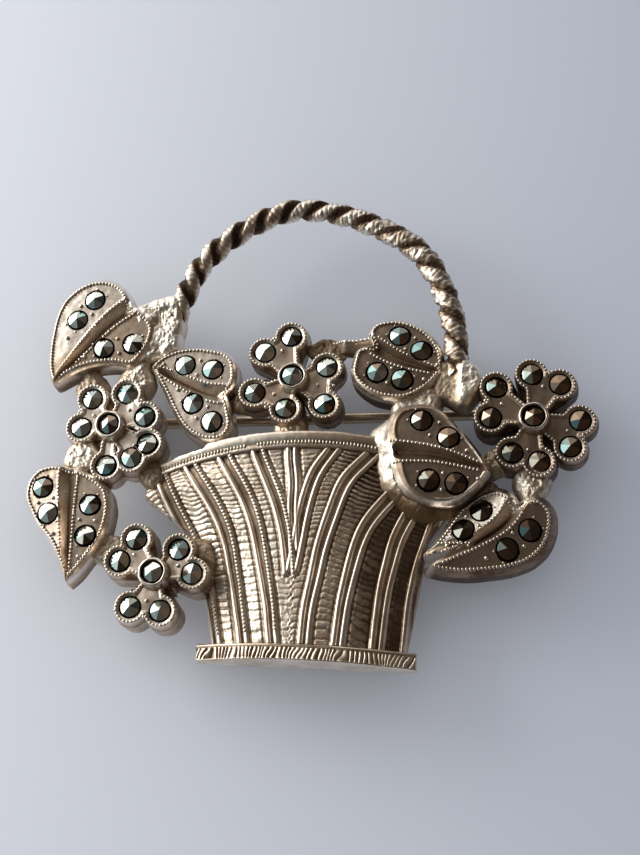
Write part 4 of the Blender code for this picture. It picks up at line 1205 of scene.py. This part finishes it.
def panel_patch():
    """Panel surface points (x, z) on a grid of shares across and up, from the CAD panel's back outline."""
    ring = cad_outline("basket_panel", 0.0, (0.0, 1.0), 0.003)
    across, up = ring.T
    corners = [np.argmin(across + up), np.argmax(across - up), np.argmax(across + up), np.argmax(up - across)]
    bottom, right, top, left = [edge_between(ring, corners[k], corners[(k + 1) % 4]) for k in range(4)]
    low = resample(bottom, BASKET_COLUMNS)[None]
    high = resample(top[::-1], BASKET_COLUMNS)[None]
    west = resample(left[::-1], BASKET_ROWS)[:, None]
    east = resample(right, BASKET_ROWS)[:, None]
    u = np.linspace(0, 1, BASKET_COLUMNS)[None, :, None]
    v = np.linspace(0, 1, BASKET_ROWS)[:, None, None]
    patch = (1 - v) * low + v * high + (1 - u) * west + u * east
    patch -= ((1 - u) * (1 - v) * low[:, :1] + u * (1 - v) * low[:, -1:]
              + (1 - u) * v * high[:, :1] + u * v * high[:, -1:])
    return patch, u[..., 0], v[..., 0]


def edge_between(ring, first, last):
    """The stretch of a closed ring from one corner to the next, inclusive."""
    steps = (last - first) % len(ring)
    return ring[(first + np.arange(steps + 1)) % len(ring)]


def bulge(u, thickness, edge):
    """Height of the basket across its width."""
    return edge + (thickness - edge) * (1 - (2 * u - 1) ** 2)


def rib_fields(x, z):
    """Over the panel: the wires, the groove of each pair, the distance to a pair, a number for each channel
    between pairs, and the lines that are beaded."""
    wires, groove, channel = np.zeros_like(x), np.zeros_like(x), np.zeros_like(x)
    nearest = np.full_like(x, 9.0)
    bead_lines = []
    for number, (name, line) in enumerate(RIBS.items()):
        curve = resample(line, 200)[::-1]
        curve = smoothed_line(curve, np.hanning(51)[1:-1], mode="reflect", reflect_type="odd")
        run = np.gradient(curve[:, 0], curve[:, 1])
        offset = x - np.interp(z, curve[:, 1], curve[:, 0])
        offset = offset * (1 / np.sqrt(1 + np.interp(z, curve[:, 1], run) ** 2))
        low_end, high_end = line[-1][1], line[0][1]
        alive = np.ones_like(z)
        if low_end > -5.0:
            alive = alive * smoothstep(low_end - 0.1, low_end + 0.2, z)
        if high_end < 5.5:
            alive = alive * smoothstep(high_end + 0.1, high_end - 0.2, z)
        spread = rib_spread(name, z)
        wobble = 0.018 * noise(z * 0.6, number, 1.0, 8)
        for side in (-1, 1):
            away = np.abs(offset - side * spread + wobble)
            wires = np.maximum(wires, alive * np.sqrt(np.clip(1 - (away / WIRE) ** 2, 0, 1)))
        if name in BEADED_RIBS:
            aside = rib_spread(name, curve[:, 1]) * np.sqrt(1 + run ** 2)
            bead_lines.append(np.column_stack((curve[:, 0] + aside, curve[:, 1])))
        groove = np.maximum(groove, alive * (1 - smoothstep(spread - 0.24, spread - 0.10, np.abs(offset))))
        nearest = np.minimum(nearest, np.where(alive > 0.5, np.abs(offset), 9.0))
        channel = channel + (offset > 0) * (1.0 + 0.618 * number)
    return wires, groove, nearest, channel, bead_lines


def rib_spread(name, z):
    return RIB_SPREAD.get(name, USUAL_SPREAD) * (0.72 + 0.28 * smoothstep(BASKET_FOOT, 5.0, z))


def add_basket_panel():
    """Woven panel: pairs of rib wires, rows of weaving between them, and beads along the left pairs."""
    patch, u, v = panel_patch()
    top = cad_top("basket_panel")
    x, z = patch[..., 0], patch[..., 1]
    u, v = np.broadcast_arrays(u, v)
    width = np.hypot(*(patch[:, -1] - patch[:, 0]).T)[:, None]
    wires, groove, nearest, channel, bead_lines = rib_fields(x, z)
    strip = smoothstep(0.955, 0.975, v)
    between = smoothstep(0.50, 0.64, nearest) * (1 - strip)
    beside = smoothstep(0.74, 0.60, nearest) * smoothstep(0.50, 0.56, nearest)
    pitch = 0.52 - 0.15 * smoothstep(0.35, 0.85, v)
    jitter = 0.14 * noise(x, z * 2, 0.9, 31) + 0.5 * noise(channel * 3.1, z, 1.1, 5)
    jitter = jitter + 0.8 * noise(channel * 2.3, z, 3.1, 9)
    sag = 0.16 * np.clip(nearest - 0.5, 0, 0.8) ** 2
    phase = (z + sag) / pitch + channel * 1.7 + jitter + 0.9 * np.clip(x - 2.0, 0, None)
    slant = np.sin(x * 3.3 + channel) * smoothstep(0.30, 0.12, u) * smoothstep(0.4, 0.7, v)
    swing = np.abs(np.sin(math.pi * (phase + 0.30 * slant)))
    deep = smoothstep(1.5, 4.5, x) * smoothstep(3.0, 5.5, z)
    strength = 0.032 + 0.018 * smoothstep(-3.0, 3.0, x) + 0.02 * smoothstep(-0.4, 0.7, noise(x, z, 0.9, 12))
    strength = strength + 0.02 * smoothstep(0.3, 0.1, u) + 0.10 * deep
    cut_width = 0.52 + 0.35 * deep + 0.25 * smoothstep(0.0, 6.0, x)
    ridge = 0.35 * swing - 1.2 * np.clip(1 - swing / cut_width, 0, 1) ** 1.1
    strokes = noise(x * 0.35, z, 0.13, 44) * 0.018 + noise(x, z, 0.16, 45) * 0.010
    height = bulge(u, top, BASKET_EDGE) + 0.04 * noise(x, z, 2.2, 21) + between * (strength * ridge + strokes)
    height = height + 0.18 * wires - 0.10 * groove * (1 - wires) - 0.07 * beside * (1 - wires)
    height = height - 0.35 * np.clip(1 - np.minimum(u, 1 - u) * width / 0.28, 0, 1) ** 2
    shade = 0.08 + 0.60 * groove * (1 - wires) + 0.42 * beside * (1 - wires)
    # Painted light and shade: the wires are painted lighter on the left, toward the light, and darker on the
    # right.
    shade = shade - (0.10 - 0.35 * smoothstep(2.0, 7.5, x)) * wires
    # Painted shade: the weave between ribs darkens toward the right, away from the light; it is darker in its
    # cuts, tarnished silver and painted shade, and lighter on its crests.
    shade = shade + between * (0.08 - (0.20 + 0.60 * deep) * ridge + 0.90 * smoothstep(-0.5, 7.5, x))
    shade = np.clip(shade + 0.10 * noise(x, z, 1.6, 17) - 0.05 * strip, 0, 1)
    front = np.dstack((x, z, height)).reshape(-1, 3)
    order = np.arange(len(front)).reshape(BASKET_ROWS, BASKET_COLUMNS)
    boundary = [*order[0], *order[1:, -1], *order[-1, -2::-1], *order[-2:0:-1, 0]]
    edge = front[boundary]
    floor = edge * (1, 1, 0) + (0, 0, BASKET_BACK)
    rows = [edge * (1 - share) + floor * share for share in (0.35, 0.7, 1.0)]
    points, faces = walled(front, grid_faces(BASKET_ROWS, BASKET_COLUMNS), boundary, rows)
    shade = np.pad(shade.ravel(), (0, len(points) - len(front)), constant_values=0.5)
    add_silver("basket_panel_woven", points, faces, shade, BASKET, "basket_panel")
    beads = []
    for line in bead_lines:
        line = line[(line[:, 1] > -4.9) & (line[:, 1] < 7.9)]
        nearest_point = [np.argmin(np.sum((front[:, :2] - place) ** 2, 1)) for place in line]
        level = smoothed(front[nearest_point, 2], np.ones(9), mode="edge")
        beads.append(along(np.column_stack((line, level)), 0.26))
    beads = np.vstack(beads)
    add_beads("basket_panel_beading", beads, grain_sizes(beads, 5, (0.125, 0.15, 0.12)), BASKET)


def band_frame(node, columns):
    """Places across one of the basket's bands, its height at each, and the CAD band's points."""
    points = cad_points(node)
    x = np.linspace(points[:, 0].min(), points[:, 0].max(), columns)
    return x, bulge((x - x[0]) / (x[-1] - x[0]), cad_top(node), BAND_SIDES), points


def add_rim():
    """Arched band over the panel: a smooth face, a milgrained lower lip and a cut-down left end."""
    x, face, points = band_frame("basket_rim", RIM_COLUMNS)
    rise = points[:, 1].max() - 0.0144 * (x - BASKET_AXIS) ** 2
    step = 0.32 * (1 - smoothstep(-6.95, -6.6, x)) + 0.035 * noise(x, 0, 1.3, 4) + 0.02 * noise(x, 0, 0.3, 9)
    rows = []
    for down, out, _ in RIM_SECTION:
        cut = step * max(0.0, 1 - down / 0.45)
        notch = 0.018 * noise(x + 7 * down, down, 0.35, 14) * (out > 0.5)
        rows.append(np.column_stack((x, rise - down - cut, face * out + notch)))
    shade = np.tile([tone for _, _, tone in RIM_SECTION], RIM_COLUMNS)
    # Painted shade: the rim darkens toward the right, away from the light.
    shade = shade + np.repeat(0.50 * smoothstep(-3.0, 5.0, x), len(RIM_SECTION))
    rim = add_silver("basket_rim_band", *swept(rows), shade, BASKET, "basket_rim")
    rim.data.set_sharp_from_angle(angle=math.radians(60))
    beads = along(np.column_stack((x, rise - 0.86, face * 0.975)), 0.235, 0.01, 0.99)
    beads = beads[noise(beads[:, 0], 0, 1.1, 26) > -0.62]
    add_beads("basket_rim_milgrain", beads, grain_sizes(beads, 6, (0.085, 0.17, 0.11)), BASKET)


def add_foot():
    """Foot band: a plain fillet over a row of slanting chisel cuts, flat underneath."""
    x, face, points = band_frame("basket_foot_band", FOOT_COLUMNS)
    lower, upper = foot_edges(points, x)
    run = np.arange(12) / 11
    chiselled = list(zip(0.26 + 0.62 * run, 0.99 + 0.02 * np.sin(math.pi * run)))
    rows, tones = [], []
    for down, out in (*FOOT_FILLET, *chiselled, *FOOT_UNDER):
        cut_zone = smoothstep(0.24, 0.32, down) * (1 - smoothstep(0.86, 0.95, down)) if out > 0.9 else 0.0
        slant = x + (0.30 + 0.45 * noise(x, 0, 0.9, 13)) * down + 0.08 * noise(x, down, 0.5, 3)
        flat = np.abs(np.sin(math.pi * slant / CUT_PITCH)) ** 0.8
        depth = 0.17 * (0.75 + 0.5 * noise(np.floor(slant / CUT_PITCH), 0, 1.0, 5))
        height = face * out - cut_zone * depth * (1 - flat)
        rows.append(np.column_stack((x, upper + (lower - upper) * down, height)))
        tones.append(0.12 + cut_zone * (0.75 * (1 - flat) - 0.1 * flat) + 0.3 * (down == FOOT_GROOVE) + 0 * x)
    shade = np.clip(np.array(tones).T.ravel(), 0, 1)
    foot = add_silver("basket_foot_cut_band", *swept(rows), shade, BASKET, "basket_foot_band")
    foot.data.set_sharp_from_angle(angle=math.radians(60))


def foot_edges(points, x):
    """Lower and upper edge heights (z) of the foot band along x, read from its back face."""
    back = points[points[:, 2] < 0.01]
    places = np.unique(np.round(back[:, 0], 2))
    columns = [back[np.abs(back[:, 0] - place) < 0.02, 1] for place in places]
    lower = np.polyfit(places, [column.min() for column in columns], 1)
    upper = np.polyfit(places, [column.max() for column in columns], 1)
    return np.polyval(lower, x), np.polyval(upper, x)


# ---------------------------------------------------------------- rope handle

ROPE_STATIONS = 1300
ROPE_SIDES = 24
ROPE_PITCH = 4.0
ROPE_HEIGHT = 1.1
ROPE_OFFSET = 0.40          # from the rope's centre line to each strand's
ROPE_MIDDLE = (0.8, 17.0)   # a point (x, z) that the arch bends round
KNURL_PITCH = 0.27
HOLLOW_RADIUS = 0.42
HOLLOW_SIDES = 12


def rope_centre():
    """Centre line of the handle, from both strands' vertices in slices round the arch's middle."""
    points = np.vstack([cad_points(node, 3)[:, :2] for node in STRANDS])
    angle = bearing(points, ROPE_MIDDLE)
    angle = np.where(angle < -math.pi / 2, angle + TURN, angle)
    radial = np.hypot(*(points - ROPE_MIDDLE).T)
    edges = np.linspace(angle.min(), angle.max(), 19)
    line = []
    for a, b in zip(edges, edges[1:]):
        here = radial[(angle >= a) & (angle <= b)]
        line.append(polar(ROPE_MIDDLE, (a + b) / 2, (np.percentile(here, 4) + np.percentile(here, 96)) / 2))
    line = np.array(line)[::-1]
    first = line[0] + (line[0] - line[1]) * 0.9
    last = line[-1] + (line[-1] - line[-2]) * 0.9
    return np.vstack((first, line, last))


def unit(rows):
    return rows / np.linalg.norm(rows, axis=1)[:, None]


def rounded(value, power):
    """A sine or cosine made squarer, with its sign kept."""
    return math.copysign(abs(value) ** power, value)


def add_rope():
    """Two flattened strands twisted together, each nicked across by a knurl, their sides painted dark as
    painted shade, with a dark core between them that stands in for the shade deep in the twist.
    """
    centre = resample(rope_centre(), ROPE_STATIONS)
    step = np.gradient(centre, axis=0)
    reach = np.cumsum(np.linalg.norm(step, axis=1))
    tangent = unit(step)
    aside = np.stack((-tangent[:, 1], tangent[:, 0]), -1)
    coarse = smoothstep(0.45, 0.62, reach / reach[-1])
    for number, node in enumerate(STRANDS):
        turn = -TURN * reach / ROPE_PITCH + number * math.pi + 0.9 + 0.25 * noise(reach, 0, 6.0, 2)
        mid = np.column_stack((centre + aside * (ROPE_OFFSET * np.cos(turn))[:, None],
                               ROPE_HEIGHT + ROPE_OFFSET * np.sin(turn)))
        forward = unit(np.gradient(mid, axis=0))
        out = np.column_stack((aside * np.cos(turn)[:, None], np.sin(turn)))
        out = unit(out - (out * forward).sum(1)[:, None] * forward)
        across = np.cross(forward, out)
        # Painted shade: the strands darken toward the right, away from the light.
        tone = 0.14 * smoothstep(2.0, 9.0, mid[:, 0])
        swell = 0.04 * noise(reach, number, 1.6, 33)
        rows, shade = [], []
        for angle in circle(ROPE_SIDES):
            facing = rounded(math.cos(angle), 0.7)
            sideways = rounded(math.sin(angle), 0.85)
            sway = 0.35 * math.sin(angle) + 0.3 * noise(reach, 0, 0.7, number)
            nick = (0.5 + 0.5 * np.cos(TURN * (reach / KNURL_PITCH + sway))) ** 3
            rough = (0.035 + 0.045 * coarse) * noise(reach * 2 + angle * 3, angle * 2, 0.5, 12 + number)
            rough = rough + 0.05 * coarse * noise(reach * 3, angle * 4, 0.5, 15 + number)
            cut = (0.035 - 0.005 * coarse) * nick * max(facing, 0) ** 0.5
            out_reach = (0.44 + swell - cut + rough) * facing
            side_reach = (0.47 + 0.10 * coarse + swell + rough) * sideways
            rows.append(mid + out * out_reach[:, None] + across * side_reach[:, None])
            # Painted shade: the sides of each strand that turn into the twist are painted dark.
            shaded_flank = smoothstep(0.88, 0.5, facing)
            patches = 0.14 * noise(reach, angle, 0.6, 40 + number)
            shade.append(tone + (0.90 - 0.40 * coarse) * shaded_flank + 0.22 * nick + patches)
        shade = np.clip(np.array(shade).T.ravel(), 0, 1.2)
        add_silver(f"{node}_knurled", *swept(rows), shade, ROPE, node)
    # A tube painted dark between the strands stands in for the shade deep in the twist.
    line, side = centre[::4], aside[::4]
    rows = []
    for angle in circle(HOLLOW_SIDES):
        height = np.full(len(line), ROPE_HEIGHT + HOLLOW_RADIUS * math.sin(angle))
        rows.append(np.column_stack((line + side * HOLLOW_RADIUS * math.cos(angle), height)))
    points, faces = swept(rows)
    add_silver("handle_shaded_core", points, faces, np.full(len(points), 0.95), ROPE)


# ---------------------------------------------------------------- findings

# Each finding's body, how round its edges are worn (mm) and how uneven its surface is (mm)
FINDINGS = {
    "hinge_base": ("brooch", 0.07, 0.012),
    "hinge_rivet": ("brooch", 0.05, 0.008),
    "pin_stem": ("pin", 0.04, 0.010),
    "catch_base": ("brooch", 0.07, 0.012),
    "catch_roller": ("roller", 0.06, 0.008),
}


def add_finding(node, body, worn, uneven):
    """A finding with the CAD's own shape, its edges rounded by wear and its faces filed slightly uneven."""
    work = bmesh.new()
    work.from_mesh(frame["nodes"][node].data)
    bmesh.ops.remove_doubles(work, verts=work.verts, dist=0.001 * MM)
    bmesh.ops.recalc_face_normals(work, faces=work.faces)
    bmesh.ops.dissolve_limit(work, angle_limit=math.radians(2), verts=work.verts, edges=work.edges)
    shared = [edge for edge in work.edges if len(edge.link_faces) == 2]
    sharp = [edge for edge in shared if edge.calc_face_angle() > math.radians(40)]
    bmesh.ops.bevel(work, geom=sharp, offset=worn * MM, segments=3, profile=0.6, affect="EDGES",
                    clamp_overlap=True)
    bmesh.ops.triangulate(work, faces=[face for face in work.faces if len(face.verts) > 4])
    long_edges = [edge for edge in work.edges if edge.calc_length() > 0.5 * MM]
    bmesh.ops.subdivide_edges(work, edges=long_edges, cuts=3, use_grid_fill=True)
    for vertex in work.verts:
        x, y, z = (c / MM for c in vertex.co)
        vertex.co += vertex.normal * float(noise(x + z, y * 2 + z, 0.45, 61)) * uneven * MM
    mesh = bpy.data.meshes.new(f"{node}_worn")
    work.to_mesh(mesh)
    work.free()
    mesh.shade_smooth()
    mesh.set_sharp_from_angle(angle=math.radians(35))
    add_piece(f"{node}_worn", mesh, "pin_metal", node, body)


# ---------------------------------------------------------------- stage

CAMERA_AZIMUTH = math.radians(9.0)
CAMERA_ELEVATION = math.radians(-20.0)
CAMERA_ROLL = math.radians(1.5)
CAMERA_DISTANCE = 125.0
CAMERA_TARGET = (1.1, -1.0, 9.7)
CAMERA_LENS = 75.8
BACKDROP_HALF = 0.6
BACKDROP_GAP = 0.25
# Soft round patches of light on the room: direction, cosines of the soft edge outside and inside, and colour
ROOM = (0.066, 0.055, 0.047)
PATCHES = (
    ((-0.52, -0.78, 0.35), 0.80, 0.97, (0.36, 0.31, 0.265)),
    ((-0.20, -0.25, 0.95), 0.80, 0.93, (1.25, 1.23, 1.18)),
    ((-0.95, -0.15, 0.20), 0.61, 0.80, (2.4, 2.35, 2.25)),
    ((-0.60, -0.68, -0.42), 0.89, 0.95, (0.20, 0.26, 0.26)),
    ((0.75, -0.60, -0.25), 0.85, 0.97, (0.12, 0.08, 0.055)),
)
FILL = (0.63, 0.63, 0.65)   # the room as matt surfaces see it
OUTSIDE = (0.56, 0.58, 0.63)
CARD_PLACE = (-0.120, -0.055, 0.065)
CARD_AIM = (0.0, 0.0, 0.008)
CARD_SIZE = 0.080
CARD_ENERGY = 0.089
CARD_COLOUR = (1.0, 0.98, 0.95)


def add_camera():
    a, e, roll = CAMERA_AZIMUTH, CAMERA_ELEVATION, CAMERA_ROLL
    back = Vector((math.sin(a) * math.cos(e), -math.cos(a) * math.cos(e), math.sin(e)))
    level = Vector((math.cos(a), math.sin(a), 0.0))
    rise = back.cross(level)
    right = level * math.cos(roll) + rise * math.sin(roll)
    up = rise * math.cos(roll) - level * math.sin(roll)
    data = bpy.data.cameras.new("camera")
    data.lens = CAMERA_LENS
    data.sensor_width = 36.0
    data.clip_start = 0.01
    data.clip_end = 5.0
    camera = new_object("camera", data)
    location = (Vector(CAMERA_TARGET) + back * CAMERA_DISTANCE) * MM
    camera.matrix_world = Matrix.Translation(location) @ Matrix((right, up, back)).transposed().to_4x4()
    bpy.context.scene.camera = camera


def add_backdrop():
    """Pale plane just behind the pin and catch, seen only from the front, painted darker toward the right as
    painted shade and painted darker beside the card.
    """
    behind = cad_high.y + BACKDROP_GAP * MM
    half = BACKDROP_HALF
    mesh = bpy.data.meshes.new("backdrop")
    corners = [(-half, behind, -half), (half, behind, -half), (half, behind, half), (-half, behind, half)]
    mesh.from_pydata(corners, [], [(0, 1, 2, 3)])
    material = bpy.data.materials.new("backdrop_pale")
    n = Nodes(material)
    across = n.add("SeparateXYZ", "X", {"Vector": n.add("TexCoord", "Object")})
    # Painted shade: the backdrop's colour falls off from left to right.
    pale = n.ramp(n.map(across, -0.025, 0.030), (0.0, (0.73, 0.76, 0.82)), (1.0, (0.50, 0.53, 0.60)))
    # A painted dark patch beside the card.
    painted_dark_by_card = n.math("MULTIPLY", n.map(across, -0.038, -0.090), n.map(across, -0.230, -0.150))
    colour = n.mix(painted_dark_by_card, pale, (0.22, 0.23, 0.26))
    n.surface(Base_Color=colour, Roughness=0.95, Specular_IOR_Level=0.0)
    sides = {0: n.add("NewGeometry", "Backfacing"), 1: n.tree.nodes["Principled BSDF"].outputs["BSDF"],
             2: n.add("BsdfTransparent", "BSDF")}
    n.put(n.tree.nodes["Material Output"], {"Surface": n.add("MixShader", "Shader", sides)})
    mesh.materials.append(material)
    new_object("backdrop", mesh)


def add_card():
    """Soft card of light to the upper left."""
    data = bpy.data.lights.new("card", "AREA")
    data.shape = "RECTANGLE"
    data.size = CARD_SIZE
    data.size_y = CARD_SIZE
    data.energy = CARD_ENERGY
    data.color = CARD_COLOUR
    light = new_object("card", data)
    light.location = CARD_PLACE
    light.rotation_mode = "QUATERNION"
    light.rotation_quaternion = (Vector(CARD_AIM) - Vector(CARD_PLACE)).to_track_quat("-Z", "Y")


def add_world():
    """Dark warm room with one broad window to the upper left, pale for what the camera sees directly."""
    world_data = bpy.data.worlds.new("studio")
    bpy.context.scene.world = world_data
    n = Nodes(world_data)
    direction = n.add("TexCoord", "Generated")
    room = ROOM
    for toward, outer, inner, colour in PATCHES:
        ends = {0: direction, 1: Vector(toward).normalized()}
        nearness = n.add("VectorMath", "Value", ends, operation="DOT_PRODUCT")
        room = n.mix(n.map(nearness, outer, inner, kind="SMOOTHSTEP"), room, colour)
    room = n.mix(n.add("LightPath", "Is Diffuse Ray"), room, FILL)
    room = n.mix(n.add("LightPath", "Is Camera Ray"), room, OUTSIDE)
    n.put(n.tree.nodes["Background"], {"Color": room})


# ---------------------------------------------------------------- build

for number, leaf_name in enumerate(LEAVES):
    add_leaf(leaf_name, 3 + number)
for number, flower_name in enumerate(FLOWERS):
    add_flower(flower_name, 13 + number)
for number, socket_name in enumerate(SOCKETS):
    add_socket(socket_name, 23 + number)
add_bar_twig("twig_top", 27)
add_joins()
add_skirt()
add_basket_panel()
add_rim()
add_foot()
add_rope()
for finding, settings in FINDINGS.items():
    add_finding(finding, *settings)

add_backdrop()
add_camera()
add_world()
add_card()
bpy.context.scene.view_settings.view_transform = "Standard"
